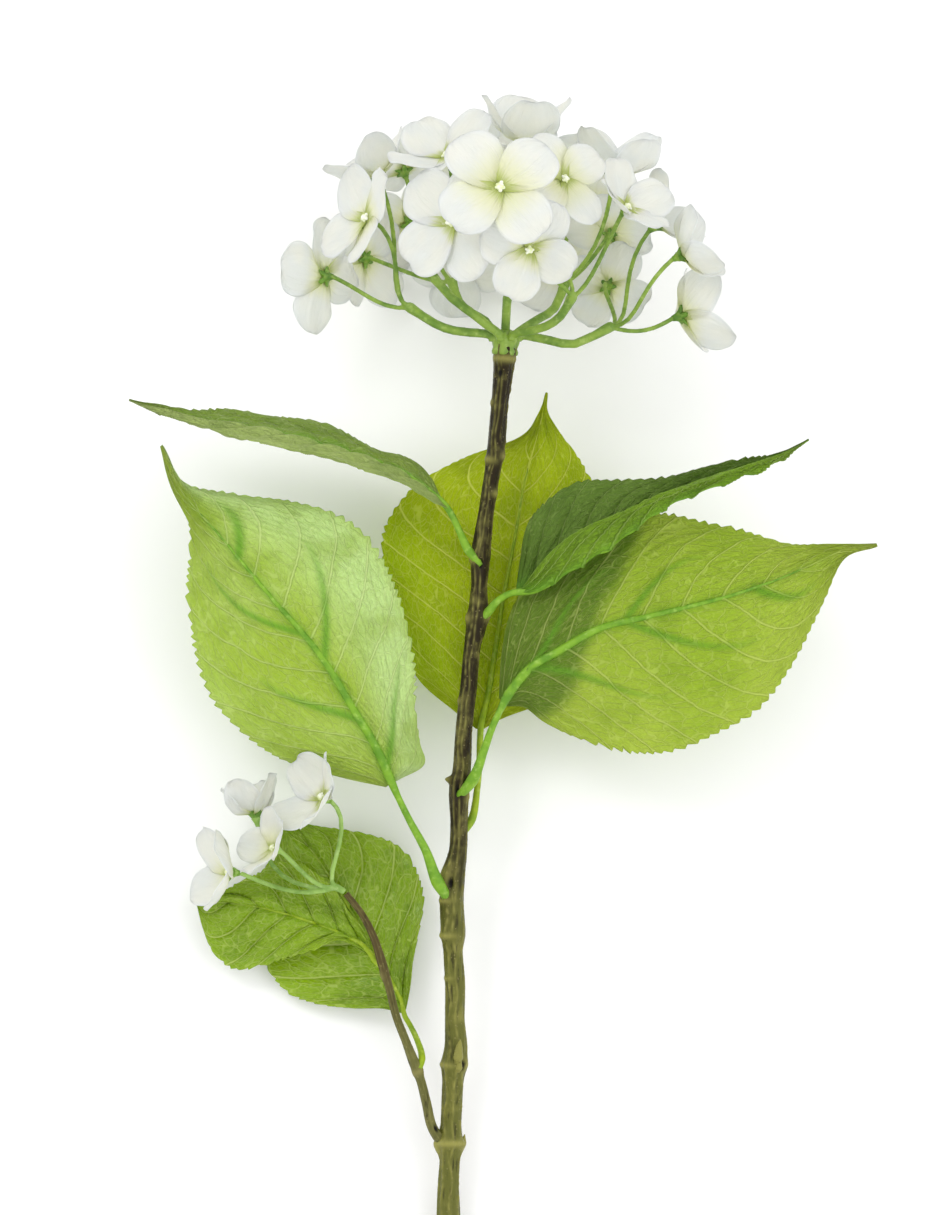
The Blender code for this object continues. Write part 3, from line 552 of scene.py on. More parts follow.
def arrangements(ring):
    """A ring of eight points started at each of them, both ways round."""
    return [np.roll(way, -start, axis=0) for way in (ring, ring[::-1]) for start in range(8)]


# Points of a ring that face each other through a blade, and the girth above which a ring counts as one.
FACING_POINTS = ((1, 7), (2, 6), (3, 5))
BLADE_GIRTH = 12 * MM


def skin_gap(ring):
    """How far apart the front and the back of a blade are if its margins are points 0 and 4."""
    return sum(np.linalg.norm(ring[near] - ring[far]) for near, far in FACING_POINTS)


def leaf_stations(name):
    """Petiole centres and radii, and five points across the blade at each station."""
    rings = cross_sections(name, 8)
    girth = [np.linalg.norm(ring - np.roll(ring, 1, axis=0), axis=1).sum() for ring in rings]
    widest = int(np.argmax(girth))
    rings[widest] = min(arrangements(rings[widest]), key=skin_gap)
    for step, end in ((-1, -1), (1, len(rings))):
        for index in range(widest + step, end, step):
            known = rings[index - step] - rings[index - step].mean(axis=0)
            choices = arrangements(rings[index])
            if girth[index] > BLADE_GIRTH:
                least = min(skin_gap(choice) for choice in choices)
                choices = [choice for choice in choices if skin_gap(choice) < least + 0.01 * MM]
            rings[index] = max(choices, key=lambda choice: ((choice - choice.mean(axis=0)) * known).sum())
    stalk = []
    stations = []
    for ring in rings:
        away = np.linalg.norm(ring - ring.mean(axis=0), axis=1)
        if not stations and away.max() < 1.15 * away.min():
            stalk.append((*ring.mean(axis=0), away.mean()))
        else:
            inner = [(ring[near] + ring[far]) / 2 for near, far in FACING_POINTS]
            stations.append([ring[0], *inner, ring[4]])
    return np.array(stalk), np.array(stations)


ROWS = 360
COLUMNS = 113
TOOTH_SPACING = 4.4 * MM
RIB_END = 0.80


def blade_grid(stations, upper_side):
    """Smooth grid of points over a blade, its upper normals and its length."""
    reach = lengths(stations[:, 2])
    length = reach[-1]
    five = smooth(reach / length, stations, np.linspace(0, 1, ROWS))
    grid = smooth([-1, -0.5, 0, 0.5, 1], five.transpose(1, 0, 2), np.linspace(-1, 1, COLUMNS))
    grid = grid.transpose(1, 0, 2)
    normals = unit(np.cross(np.gradient(grid, axis=1), np.gradient(grid, axis=0)))
    if (normals.mean(axis=(0, 1)) @ upper_side) < 0:
        normals = -normals
    return grid, normals, length


def side_rib_strength(u, v, length, half_width, side_ribs):
    """How strongly the curved side ribs stand out, from 0 to 1."""
    rib = np.zeros_like(u)
    shares = np.linspace(0, 1, 60)
    for start, side, end, out in side_ribs:
        rib_u = start + (end - start) * shares
        rib_v = side * out * (1 - (1 - shares) ** 1.5)
        width_here = np.interp(rib_u, u[:, 0], half_width[:, 0])
        for at_u, at_v, at_width, share in zip(rib_u, rib_v, width_here, shares):
            off = ((u - at_u) * length) ** 2 + ((v - at_v) * at_width) ** 2
            thick = (1.7 - 0.9 * share) * MM
            rib = np.maximum(rib, np.exp(-off / thick**2) * (1 - 0.8 * share**2))
    return rib


def cut_teeth(grid, v, tooth, seed):
    """Saw teeth along both margins, fading towards the blade's foot and tip."""
    along = np.linspace(0, 1, ROWS)
    fade = np.clip((along - 0.12) / 0.12, 0, 1)
    tip_fade = np.clip((0.90 - along) / 0.10, 0, 1)
    near_margin = np.clip((np.abs(v) - 0.90) / 0.10, 0, 1) ** 1.5
    for edge, side in ((0, -1), (-1, 1)):
        travelled = lengths(grid[:, edge])
        beat = travelled / TOOTH_SPACING + 0.7 * wobble(along * 3, seed + 5 + side)
        share = np.mod(beat, 1.0)
        shape = np.where(share < 0.78, share / 0.78, (1 - share) / 0.22) ** 0.8 - 0.5
        size = tooth * (0.75 + 0.35 * wobble(np.floor(beat) * 0.37, seed + 15))
        bite = shape * size * fade * tip_fade
        outward = unit(grid[:, edge] - grid[:, edge - 4 * side])
        weight = near_margin * (np.sign(v) == side)
        grid = grid + outward[:, None] * (bite[:, None] * weight * MM)[..., None]
    return grid


def leaf_surface(stations, upper_side, side_ribs, seed, tooth, puff, crinkle, pairs):
    """Grid of points over a finished blade, its upper normals, its surface map and its rib strength."""
    grid, normals, length = blade_grid(stations, upper_side)
    u, v = np.meshgrid(np.linspace(0, 1, ROWS), np.linspace(-1, 1, COLUMNS), indexing="ij")
    distance = np.abs(v)
    half_width = np.linalg.norm(grid[:, -1] - grid[:, 0], axis=1)[:, None] / 2
    phase = (u - 0.2 * distance - 0.06 * distance**2) * pairs
    band = np.abs(phase - np.round(phase))
    from_vein = band / pairs * length
    inside = 1 - distance**4
    ends = np.clip(u / 0.06, 0, 1) * np.clip((1 - u) / 0.12, 0, 1)
    height = -0.35 * puff * np.exp(-((from_vein / (0.9 * MM)) ** 2)) * inside
    height += 0.40 * puff * (np.sin(math.pi * band) - 0.5) * inside
    height -= 0.7 * puff * np.exp(-((distance * half_width / (1.8 * MM)) ** 2))
    height += 1.1 * distance**3 * wobble(u * 1.8 + 0.3 * np.sign(v), seed)
    height += 0.6 * wobble(u * 1.2 + v * 0.7, seed + 7)
    height += 0.22 * crinkle * wobble(u * 9 + v * 5, seed + 3, 6) * inside
    rib = side_rib_strength(u, v, length, half_width, side_ribs)
    height -= 1.25 * rib
    main_rib = 0.75 * np.exp(-((distance * half_width / (2.4 * MM)) ** 2))
    rib = np.maximum(rib, main_rib * np.clip(1 - u / 0.9, 0, 1) ** 0.6)
    grid = cut_teeth(grid + normals * (height * ends * MM)[..., None], v, tooth, seed)
    uv = np.stack([u, (v + 1) / 2], axis=-1).reshape(-1, 2)
    return grid, normals, uv, rib


def on_surface(grid, normals, u, v):
    """Point and normal at a place on a blade."""
    row = np.clip(u * (ROWS - 1), 0, ROWS - 1.001)
    column = np.clip((v + 1) / 2 * (COLUMNS - 1), 0, COLUMNS - 1.001)
    low_row, low_column = int(row), int(column)
    share_row, share_column = row - low_row, column - low_column

    def along_row(line):
        return line[low_column] * (1 - share_column) + line[low_column + 1] * share_column

    def blended(values):
        return along_row(values[low_row]) * (1 - share_row) + along_row(values[low_row + 1]) * share_row

    return blended(grid), unit(blended(normals))


def foot_in_wood(path, centres, radii):
    """Where a petiole that comes down to a stem ends inside it."""
    travelled = lengths(centres)
    fine = np.linspace(0, travelled[-1], 400)
    axis_points = smooth(travelled, centres, fine)
    gaps = np.linalg.norm(axis_points - path[0], axis=1)
    meeting = int(np.argmin(gaps))
    inward = unit(axis_points[meeting] - path[0])
    depth = max(gaps[meeting] - 0.25 * np.interp(fine[meeting], travelled, radii), 1.0 * MM)
    slant = unit(path[0] - path[1])
    return path[0] + inward * depth + (slant - inward * (slant @ inward)) * 1.2 * depth


def make_midrib(name, material, stalk, grid, normals, rib_size):
    """Petiole that runs into the stem below and thins out above into the blade's middle rib."""
    path = [point[:3] for point in stalk]
    radii = [point[3] for point in stalk]
    on_shoot = name.startswith("side_")
    wood = (shoot_centres, shoot_radii) if on_shoot else (stem_centres, stem_radii)
    path.insert(0, foot_in_wood(path, *wood))
    radii.insert(0, 0.6 * radii[0])
    for share in np.linspace(0.02, RIB_END, 26):
        point, normal = on_surface(grid, normals, share, 0.0)
        radius = rib_size * (1.55 * (1 - share / RIB_END) ** 0.8 + 0.25) * MM
        path.append(point + normal * (0.25 * radius))
        radii.append(radius)
    path = np.array(path)
    travelled = lengths(path)
    fine = np.linspace(0, travelled[-1], 150)
    radii = np.interp(fine, travelled, radii)
    swell = np.clip(1 - fine / (14 * MM), 0, 1) ** 1.2
    points, faces = tube(smooth(travelled, path, fine), radii * (1.08 + 0.22 * swell), 16)
    make_piece(name + "_midrib", points, faces, material)


def make_leaf(
    name, look, rib_material, upper_side, seed, side_ribs=(), tooth=1.5, puff=1.0, crinkle=1.0,
    rib_size=1.0, pairs=10.0,
):
    """Blade and midrib of one leaf.

    tooth, puff and crinkle say how much the margin's teeth, the pillows between side veins
    and the small wrinkles stand out; pairs is the number of side veins on each side.
    """
    stalk, stations = leaf_stations(name)
    grid, normals, uv, rib = leaf_surface(stations, upper_side, side_ribs, seed, tooth, puff, crinkle, pairs)
    points = grid.reshape(-1, 3)
    blade = make_piece(
        name + "_blade", points, grid_faces(ROWS, COLUMNS), look, (name,), uv, {"rib": rib}
    )
    thicken(blade, BLADE_THICKNESS)
    make_midrib(name, rib_material, stalk, grid, normals, rib_size)


# Painted light: the paler near colour on one half of this blade stands in for the light falling through it.
light_left = leaf_look(
    "leaf_underside_left", srgb("BAD44C"), srgb("CAE276"), srgb("A2C038"), srgb("E8F2B0"), 0.42, 0.46,
    "74B430", near=srgb("DAF2A8"), near_span=(0.05, 0.70), vein_strength=0.36, relief=1.5,
)
# Painted shade: the darker colour at this blade's foot stands in for the shade of the leaves behind and
# above it.
light_right = leaf_look(
    "leaf_underside_right", srgb("AFCA3C"), srgb("C2D654"), srgb("96B432"), srgb("E8F096"), 0.45, 0.46,
    "74AE30", shade=(srgb("5A8026"), 0.25, 0.31), vein_strength=0.40, relief=1.5,
)
vivid_leaf = leaf_look(
    "leaf_vivid_green", srgb("AAC408"), srgb("BCD014"), srgb("88A406"), srgb("ECF07A"), 0.32, 0.42,
    "98AE08", vein_strength=0.65, shine=0.06, cells=(3.0, 19.0),
)
# Painted highlight: the paler near colour on the blade's hanging half stands in for the sheen on it.
left_grey = leaf_look(
    "leaf_soft_green_left", srgb("84A238"), srgb("98B24E"), srgb("60802A"), srgb("C4D48C"), 0.25, 0.44,
    "6FAE30", near=srgb("B8CC76"), near_span=(0.06, -0.06), vein_strength=0.6, relief=1.8,
)
# Painted shade: these colours are a darker copy of the soft green leaf above, standing in for the shade on
# the blade's far half; the near colour is the underside's brighter green.
right_grey = leaf_look(
    "leaf_soft_green_right", srgb("56761E"), srgb("6E8E36"), srgb("3C5A14"), srgb("98AE62"), 0.22, 0.44,
    "6FAE30", near=srgb("90BA2E"), relief=1.8,
)
glossy_leaf = leaf_look(
    "leaf_glossy_green", srgb("80A404"), srgb("98BC10"), srgb("4A7202"), srgb("D2E27E"), 0.16, 0.16,
    "84AA24", vein_strength=0.6, relief=0.8, pairs=6.0, shine=0.3, cells=(3.4, 6.5),
)
rib_green = rib_look("rib_green", srgb("7CA82A"), srgb("5C8C20"), srgb("A8C862"))
rib_dark = rib_look("rib_yellow_green", srgb("96AE22"), srgb("749418"), srgb("C4D26A"))

shoot_centres, shoot_radii = middle_line(cross_sections("side_stem", 8))

# Side ribs: where along the blade each starts, on which side, where it ends, how far out it gets.
LEFT_RIBS = [
    (0.03, 1, 0.30, 0.80), (0.17, -1, 0.36, 0.52), (0.34, 1, 0.62, 0.55),
    (0.42, -1, 0.66, 0.60), (0.66, 1, 0.80, 0.45),
]
RIGHT_RIBS = [
    (0.10, 1, 0.42, 0.60), (0.12, -1, 0.36, 0.55), (0.36, 1, 0.66, 0.45),
    (0.36, -1, 0.58, 0.50), (0.68, 1, 0.82, 0.40),
]
make_leaf(
    "leaf_left_large", light_left, rib_green, -OUT, 11, LEFT_RIBS, tooth=2.6, crinkle=1.2
)
make_leaf(
    "leaf_right_large", light_right, rib_green, -OUT, 23, RIGHT_RIBS, tooth=2.3, crinkle=1.2
)
make_leaf("leaf_centre_back", vivid_leaf, rib_dark, OUT, 31, tooth=1.7, rib_size=0.7)
make_leaf(
    "leaf_left_upper", left_grey, rib_green, UP, 43,
    tooth=2.3, puff=3.0, crinkle=1.3, rib_size=0.7,
)
make_leaf(
    "leaf_right_upper", right_grey, rib_green, UP, 59,
    tooth=1.8, puff=2.4, crinkle=1.2, rib_size=0.8,
)
make_leaf(
    "side_leaf_back", glossy_leaf, rib_dark, OUT, 61,
    tooth=1.2, puff=2.6, crinkle=0.5, rib_size=0.5, pairs=6.0,
)
make_leaf(
    "side_leaf_front", glossy_leaf, rib_dark, OUT, 73,
    tooth=1.4, puff=3.0, crinkle=0.5, rib_size=0.5, pairs=6.0,
)


# ---------------------------------------------------------------- florets


def floret_frame(name):
    """Middle, facing direction, and for each of four petals its inner point and tip."""
    points, triangles = welded(name)
    hubs = floret_hubs(points, triangles)
    middle = hubs.mean(axis=0)
    axis = unit(hubs[1] - hubs[0])
    offset = points - middle
    flat = offset - np.outer(offset @ axis, axis)
    away = np.linalg.norm(flat, axis=1)
    first = unit(flat[np.argmax(away)])
    second = np.cross(axis, first)
    angle = np.arctan2(flat @ second, flat @ first)
    petals = []
    for index in range(4):
        wanted = index * math.pi / 2
        near = turn_gap(angle, wanted) < 0.12
        outer = near & (away > 0.75 * away.max())
        inner = near & (away > 0.2 * away.max()) & (away < 0.7 * away.max())
        tip = offset[outer].mean(axis=0)
        bend = offset[inner].mean(axis=0)
        petals.append((bend, tip))
    return middle, axis, petals


# Where the stalks of the head and of the side spray come from, in the upright plant.
MAIN_HEAD = PLANT_ORIGIN + PLANT_TURN @ (np.array([15.0, 372.0, 0.0]) * MM)
SIDE_HEAD = PLANT_ORIGIN + PLANT_TURN @ (np.array([-53.2, 131.4, 9.3]) * MM)


def face_outwards(name, middle, axis):
    """The floret's axis, turned to point away from the stalks it grows on."""
    head = SIDE_HEAD if name.startswith("side_") else MAIN_HEAD
    return axis if axis @ (middle - head) > 0 else -axis


def petal_sheet(axis, bend, tip, width, seed, layer):
    """Grid of one broad rounded petal that springs from the middle of its floret."""
    chance = np.random.default_rng(seed)
    rows, columns = 26, 21
    share = np.sin(np.linspace(0.0, 1.0, rows) * math.pi / 2)
    across = np.linspace(-1, 1, columns)
    length = np.linalg.norm(tip)
    start = -axis * 0.15 * MM
    spine = smooth([0.0, 0.45, 1.0], np.array([start, bend, tip]), share)
    fan = np.sin(np.minimum(share / 0.68, 1.0) * math.pi / 2) ** 0.9
    taper = np.sqrt(np.clip(1 - share ** chance.uniform(3.2, 7.0), 0, 1))
    outline = (0.20 + 0.80 * fan) * taper
    side = unit(np.cross(axis, tip))
    forward = unit(np.gradient(spine, axis=0))
    lift = unit(np.cross(side[None], forward))
    lift *= np.sign(lift @ axis)[:, None]
    s, t = np.meshgrid(share, across, indexing="ij")
    half = width * outline[:, None] * (1 + chance.uniform(-0.16, 0.16) * t)
    spread = half * t
    t = t * taper[:, None]
    cup = chance.uniform(0.02, 0.22)
    raise_by = cup * half * t**2
    raise_by += chance.uniform(0.35, 0.75) * MM * t * np.sin(math.pi * np.clip(s, 0, 1) ** 0.7)
    raise_by += 0.5 * MM * wobble(s * 0.8 + t * 0.9, seed, 4, 0.5, 1.4) * s
    raise_by += 1.1 * MM * np.abs(t) ** 3 * wobble(s * 1.6 + np.sign(t) * 0.4, seed + 1, 4, 0.6, 1.6) * s
    raise_by += 0.9 * MM * s**6 * wobble(t * 0.8, seed + 2, 4, 0.5, 1.6)
    raise_by -= chance.uniform(0.0, 1.6) * MM * s**4
    raise_by += 0.09 * MM * np.sin(t * 17 + chance.uniform(0, 6)) * np.clip(s * 3, 0, 1) * (1 - s**3)
    raise_by -= 0.2 * MM * np.exp(-((t / 0.16) ** 2)) * (1 - s)
    raise_by += layer * MM * np.clip(1.2 - s, 0, 1)
    notch = 1 - 0.05 * np.exp(-((t / 0.2) ** 2)) * s**8 * chance.uniform(0, 1)
    sway = chance.uniform(-0.06, 0.06) * length
    grid = (
        spine[:, None] * notch[..., None]
        + side[None, None] * spread[..., None]
        + side[None, None] * (sway * s**2)[..., None]
        + lift[:, None] * raise_by[..., None]
    )
    uv = np.stack([s, np.broadcast_to((across + 1) / 2, s.shape)], axis=-1).reshape(-1, 2)
    return grid.reshape(-1, 3), grid_faces(rows, columns), uv


def small_ball(centre, radius, rings=6, sides=10):
    """Points and faces of a bead."""
    points = []
    for row in range(1, rings):
        polar = math.pi * row / rings
        flat = math.sin(polar)
        for column in range(sides):
            turn = 2 * math.pi * column / sides
            way = np.array([flat * math.cos(turn), flat * math.sin(turn), math.cos(polar)])
            points.append(centre + radius * way)
    faces = grid_faces(rings - 1, sides, closed=True) + end_fans(len(points), sides)
    points += [centre + [0, 0, radius], centre - [0, 0, radius]]
    return np.array(points), [tuple(reversed(face)) for face in faces]


# Share of the calyx's reach and height in millimetres, from its neck to its points.
CALYX_PROFILE = (
    (0.0, -4.4), (0.16, -3.6), (0.30, -2.6), (0.45, -1.8), (0.62, -1.25), (0.8, -0.9), (1.0, -0.62),
)
CALYX_POINTS = 5
BEADS = 5
USUAL_PETAL = 24 * MM


def calyx_star(axis, first, petals, seed, scale):
    """Green cup under a floret: a flaring neck that ends in jagged points on the petals' backs."""
    chance = np.random.default_rng(seed)
    second = np.cross(axis, first)
    sides = 60
    turn = np.linspace(0, 2 * math.pi, sides, endpoint=False)
    star = np.abs(np.cos(turn * CALYX_POINTS / 2 + chance.uniform(0, 3))) ** 2.2
    jag = 0.5 + 0.5 * wobble(turn / (2 * math.pi) * 9, seed, 6, 1.0, 2.0)
    reach = (1.9 + 2.3 * star + 0.9 * jag * star) * scale * MM
    bends = np.array([(np.linalg.norm(bend - axis * (bend @ axis)), bend @ axis) for bend, _ in petals])
    slope = (bends[:, 1] / bends[:, 0]).mean()
    rings = []
    for share, level in CALYX_PROFILE:
        neck = (0.95 + 0.9 * share) * MM
        radius = neck + (reach - neck) * share**1.9
        height = level * scale * MM + slope * radius * share
        height = height - 0.25 * MM * wobble(turn / (2 * math.pi) * 5, seed + 2, 4, 1.0, 2.0) * share
        rings.append(ring_of(first, second, radius, turn) + axis * height[:, None])
    grid = np.array(rings)
    return grid.reshape(-1, 3), grid_faces(len(rings), sides, closed=True)


petal_material = petal_look()
bead_material = bead_look()
stalk_material = stalk_look("pedicel_green", srgb("86A438"), srgb("5F8424"), srgb("B3C96C"))
side_stalk_material = stalk_look("side_pedicel_green", srgb("92B656"), srgb("72983C"), srgb("C0D692"))
calyx_material = stalk_look("calyx_green", srgb("6F9A28"), srgb("4B7516"), srgb("B4CC6A"))


def make_petals(name, middle, axis, petals, chance, seed):
    """Four petals of one floret as one piece."""
    sheets = []
    maps = []
    for index, (bend, tip) in enumerate(petals):
        width = np.linalg.norm(tip) * chance.uniform(0.45, 0.52)
        grow = 1.0 + chance.uniform(0.00, 0.07)
        points, faces, uv = petal_sheet(axis, bend, tip * grow, width, seed * 10 + index, 0.45 * (index % 2))
        sheets.append((points + middle, faces))
        maps.append(uv)
    points, faces = join(sheets)
    tint = {"tint": np.full(len(points), chance.uniform(0.0, 1.0))}
    uv = np.vstack(maps)
    piece = make_piece(name + "_petals", points, faces, petal_material, (name,), uv, tint)
    thicken(piece, PETAL_THICKNESS)


def make_bead(name, middle, axis, first, chance, size):
    """Bead in the middle of a floret, with smaller ones round it."""
    second = np.cross(axis, first)
    beads = [small_ball(middle + axis * 1.1 * size * MM, 1.55 * size * MM, 8, 14)]
    for index in range(BEADS):
        turn = 2 * math.pi * (index + chance.uniform(-0.2, 0.2)) / BEADS
        spot = first * math.cos(turn) + second * math.sin(turn)
        centre = middle + (spot * chance.uniform(1.2, 1.8) + axis * 0.95) * size * MM
        beads.append(small_ball(centre, chance.uniform(0.55, 0.8) * size * MM))
    points, faces = join(beads)
    make_piece(name + "_bead", points, faces, bead_material)


def make_floret(name, seed):
    """Petals, beads and calyx of one floret."""
    middle, axis, petals = floret_frame(name)
    axis = face_outwards(name, middle, axis)
    chance = np.random.default_rng(seed)
    make_petals(name, middle, axis, petals, chance, seed)
    first = unit(petals[0][1] - axis * (petals[0][1] @ axis))
    reach = np.mean([np.linalg.norm(tip) for _, tip in petals])
    size = np.clip(reach / USUAL_PETAL, 0.75, 1.1)
    make_bead(name, middle, axis, first, chance, size)
    points, faces = calyx_star(axis, first, petals, seed + 900, size)
    calyx = make_piece(name + "_calyx", points + middle, faces, calyx_material)
    thicken(calyx, CALYX_THICKNESS)


floret_names = sorted(name for name in NODES if "floret_" in name)
for order, floret_name in enumerate(floret_names):
    make_floret(floret_name, order + 5)


# ---------------------------------------------------------------- peduncles and pedicels


def make_spray(name, material):
    """The node's own solid, remeshed and smoothed into round grown stalks."""
    points, triangles = welded(name)
    faces = [tuple(int(corner) for corner in triangle) for triangle in triangles]
    piece = make_piece(name + "_stalks", points, faces, material, (name,))
    remesh = piece.modifiers.new("even", "REMESH")
    remesh.mode = "VOXEL"
    remesh.voxel_size = 0.42 * MM
    soften = piece.modifiers.new("round", "SMOOTH")
    soften.factor = 0.5
    soften.iterations = 9


for spray_name in sorted(name for name in NODES if "spray" in name):
    make_spray(spray_name, side_stalk_material if spray_name == "side_spray" else stalk_material)


# Height from the stem's top and radius in millimetres, and the lobes' share of that radius.
COLLAR_PROFILE = (
    (-4.4, 3.6, 0.0), (-3.8, 4.7, 0.10), (-2.6, 5.0, 0.10), (-1.2, 4.7, 0.05), (0.6, 5.2, 0.06),
    (2.4, 5.6, 0.10), (4.2, 5.0, 0.14), (5.6, 3.2, 0.12), (6.4, 1.4, 0.1), (6.6, 0.3, 0.0),
)
# Bearing round the stem in radians, and lean, of each bract.
BRACTS = ((0.5, 0.35), (2.2, 0.5), (3.9, 0.3), (5.1, 0.45))


def make_junction():
    """Green collar where the peduncles leave the stem, with small pointed bracts."""
    top = stem_centres[-1]
    way = unit(stem_centres[-1] - stem_centres[-3])
    side = unit(np.cross(way, OUT))
    front = np.cross(side, way)
    sides = 48
    turn = np.linspace(0, 2 * math.pi, sides, endpoint=False)
    rings = []
    for level, radius, lobes in COLLAR_PROFILE:
        unevenness = 0.25 * wobble(turn / (2 * math.pi) * 4 + level, 5)
        wave = radius * (1 + lobes * np.cos(turn * 7 + 0.4)) + unevenness
        rings.append(top + (ring_of(side, front, wave, turn) + way * level) * MM)
    parts = [(np.array(rings).reshape(-1, 3), grid_faces(len(rings), sides, closed=True))]
    shares = np.linspace(0, 1, 9)[:, None]
    widths = 1.0 * (1 - shares[:, 0]) ** 0.8 * MM + 0.05 * MM
    for bearing, lean in BRACTS:
        outward = side * math.cos(bearing) + front * math.sin(bearing)
        path = top + (outward * (4.4 + 2.2 * lean * shares) + way * (0.5 + 6.0 * shares)) * MM
        parts.append(tube(path, widths, 10))
    points, faces = join(parts)
    make_piece("peduncle_junction", points, faces, stalk_material)


make_junction()


# ---------------------------------------------------------------- stems


# Bearing in degrees, width in degrees and drift of the long raised lines on the bark.
BARK_LINES = ((-40, 7, 0.0006), (12, 6, -0.0008), (60, 8, 0.0009), (130, 8, 0.0), (215, 9, 0.0005))


def bark_lines(level, angle, seed):
    """How strongly the long raised lines of the bark show, from 0 to 1."""
    strength = np.zeros_like(level)
    for bearing, width, drift in BARK_LINES:
        centre_line = math.radians(bearing) + drift * level + 0.16 * wobble(level / 45, seed + bearing + 400)
        off = turn_gap(angle, centre_line)
        uneven = 0.6 + 0.4 * wobble(level / 9, seed + bearing + 500)
        strength = np.maximum(strength, np.exp(-((off / math.radians(width)) ** 2)) * uneven)
    return strength


def make_stem(name, material, centres, radii, features, rows, sides, ridge_depth, seed):
    """Bark skin over a stem: lengthwise ridges, ring scars, pits and swellings."""
    travelled = lengths(centres)
    total = travelled[-1]
    fine = np.linspace(0, total, rows)
    path = smooth(travelled, centres, fine)
    width = np.interp(fine, travelled, radii)
    kernel = np.hanning(9)
    width = np.convolve(np.pad(width, 4, mode="edge"), kernel / kernel.sum(), mode="valid")
    tangents = unit(np.gradient(path, axis=0))
    right = unit(RIGHT[None] - tangents * (tangents @ RIGHT)[:, None])
    front = np.cross(right, tangents)
    turn = np.linspace(0, 2 * math.pi, sides, endpoint=False)
    level, angle = np.meshgrid(fine / MM, turn, indexing="ij")
    chance = np.random.default_rng(seed)
    relief = np.zeros_like(level)
    for count, share in ((3, 0.45), (5, 0.5), (8, 0.4), (13, 0.32)):
        twist = chance.uniform(-0.012, 0.012)
        strength = 0.6 + 0.4 * wobble(level / 60, seed + count)
        relief += share * strength * np.cos(count * angle + twist * level + chance.uniform(0, 6))
    relief *= ridge_depth
    lines = bark_lines(level, angle, seed)
    relief += 1.5 * ridge_depth * lines
    relief += 0.10 * ridge_depth * wobble(level / 3.1 + np.sin(angle) * 1.3, seed + 90, 6, 0.5, 2.0)
    # How much painted shade the pits get, and where the pale ridge colour goes, partly painted highlight.
    pit_shade = np.zeros_like(level)
    raised = np.clip(lines * 0.7, 0, 1)
    for kind, at, bearing, tall, wide, amount in features:
        off = turn_gap(angle, math.radians(bearing))
        shape = np.exp(-(((level - at) / tall) ** 2)) * np.exp(-((off / math.radians(wide)) ** 2))
        relief += amount * shape
        if kind == "pit":
            pit_shade = np.maximum(pit_shade, np.clip(shape * 1.9 - 0.55, 0, 1))
        if kind == "lip":
            raised = np.maximum(raised, np.clip(shape, 0, 1))
    radius = width[:, None] + relief * MM
    grid = (
        path[:, None]
        + right[:, None] * (radius * np.sin(angle))[..., None]
        + front[:, None] * (radius * np.cos(angle))[..., None]
    )
    points = grid.reshape(-1, 3)
    faces = grid_faces(rows, sides, closed=True) + end_fans(len(points), sides)
    points = np.vstack([points, path[0], path[-1]])
    ends = [0.0, 1.0]
    values = {
        "along": np.concatenate([(level / level.max()).ravel(), ends]),
        "pit_shade": np.concatenate([pit_shade.ravel(), [0.0, 0.0]]),
        "raised": np.concatenate([raised.ravel(), [0.0, 0.0]]),
    }
    make_piece(name + "_bark", points, faces, material, (name,), None, values)


stem_bark = bark_look("stem_bark", srgb("606228"), srgb("241C06"), srgb("A09C52"), 0.36, 0.52)
shoot_bark = bark_look("shoot_bark", srgb("5F5F30"), srgb("4E4222"), srgb("8C874E"), 0.35, 0.75)

# kind, height from the cut end, bearing from the front, height and width of the mark, relief in mm
STEM_MARKS = [
    ("lip", 69, 0, 1.6, 400, 0.75), ("lip", 67, -80, 2.6, 26, 1.0), ("lip", 67, 85, 2.6, 26, 1.0),
    ("lip", 100, -60, 1.1, 60, 0.7), ("lip", 101, 70, 2.5, 40, 0.6), ("pit", 100.5, 48, 2.6, 16, -1.7),
    ("lip", 135, -70, 1.0, 55, 0.35), ("lip", 152, -60, 1.2, 70, 0.8), ("lip", 166, -65, 1.1, 60, 0.6),
    ("pit", 173, -8, 2.8, 20, -1.9), ("lip", 176, -60, 3.0, 45, 0.7),
    ("pit", 210, -12, 3.0, 20, -1.9), ("lip", 214, -85, 1.3, 20, 2.4), ("lip", 208, 75, 3.5, 30, 0.5),
    ("lip", 246, -80, 1.4, 30, 0.6), ("lip", 279, -75, 2.4, 40, 0.9), ("lip", 281, 80, 2.6, 40, 0.8),
    ("lip", 303, -75, 1.8, 45, 0.9), ("pit", 301, 4, 2.6, 17, -1.3), ("lip", 330, 70, 1.6, 50, 0.5),
    ("lip", 343, -60, 1.6, 70, 0.7), ("lip", 345, 80, 1.6, 40, 0.7), ("lip", 366, -78, 1.5, 35, 0.6),
    ("pit", 378, -18, 2.2, 20, -1.2), ("lip", 384, 0, 1.6, 400, 0.4),
]
make_stem("main_stem", stem_bark, stem_centres, stem_radii, STEM_MARKS, 620, 80, 0.32, 7)

foot_way = unit(unit(shoot_centres[0] - shoot_centres[1]) + 1.1 * unit(stem_centres[5] - shoot_centres[0]))
shoot_centres = np.vstack([shoot_centres[0] + foot_way * 4.5 * MM, shoot_centres])
shoot_radii = np.concatenate([[shoot_radii[0] * 1.15], shoot_radii])
SHOOT_MARKS = [
    ("lip", 29, 0, 1.6, 400, 0.35), ("lip", 30, 60, 2.2, 50, 0.5), ("lip", 70, -80, 2.0, 60, 0.4),
    ("pit", 5, 40, 2.0, 30, -0.3),
]
make_stem("side_stem", shoot_bark, shoot_centres, shoot_radii, SHOOT_MARKS, 240, 40, 0.12, 19)


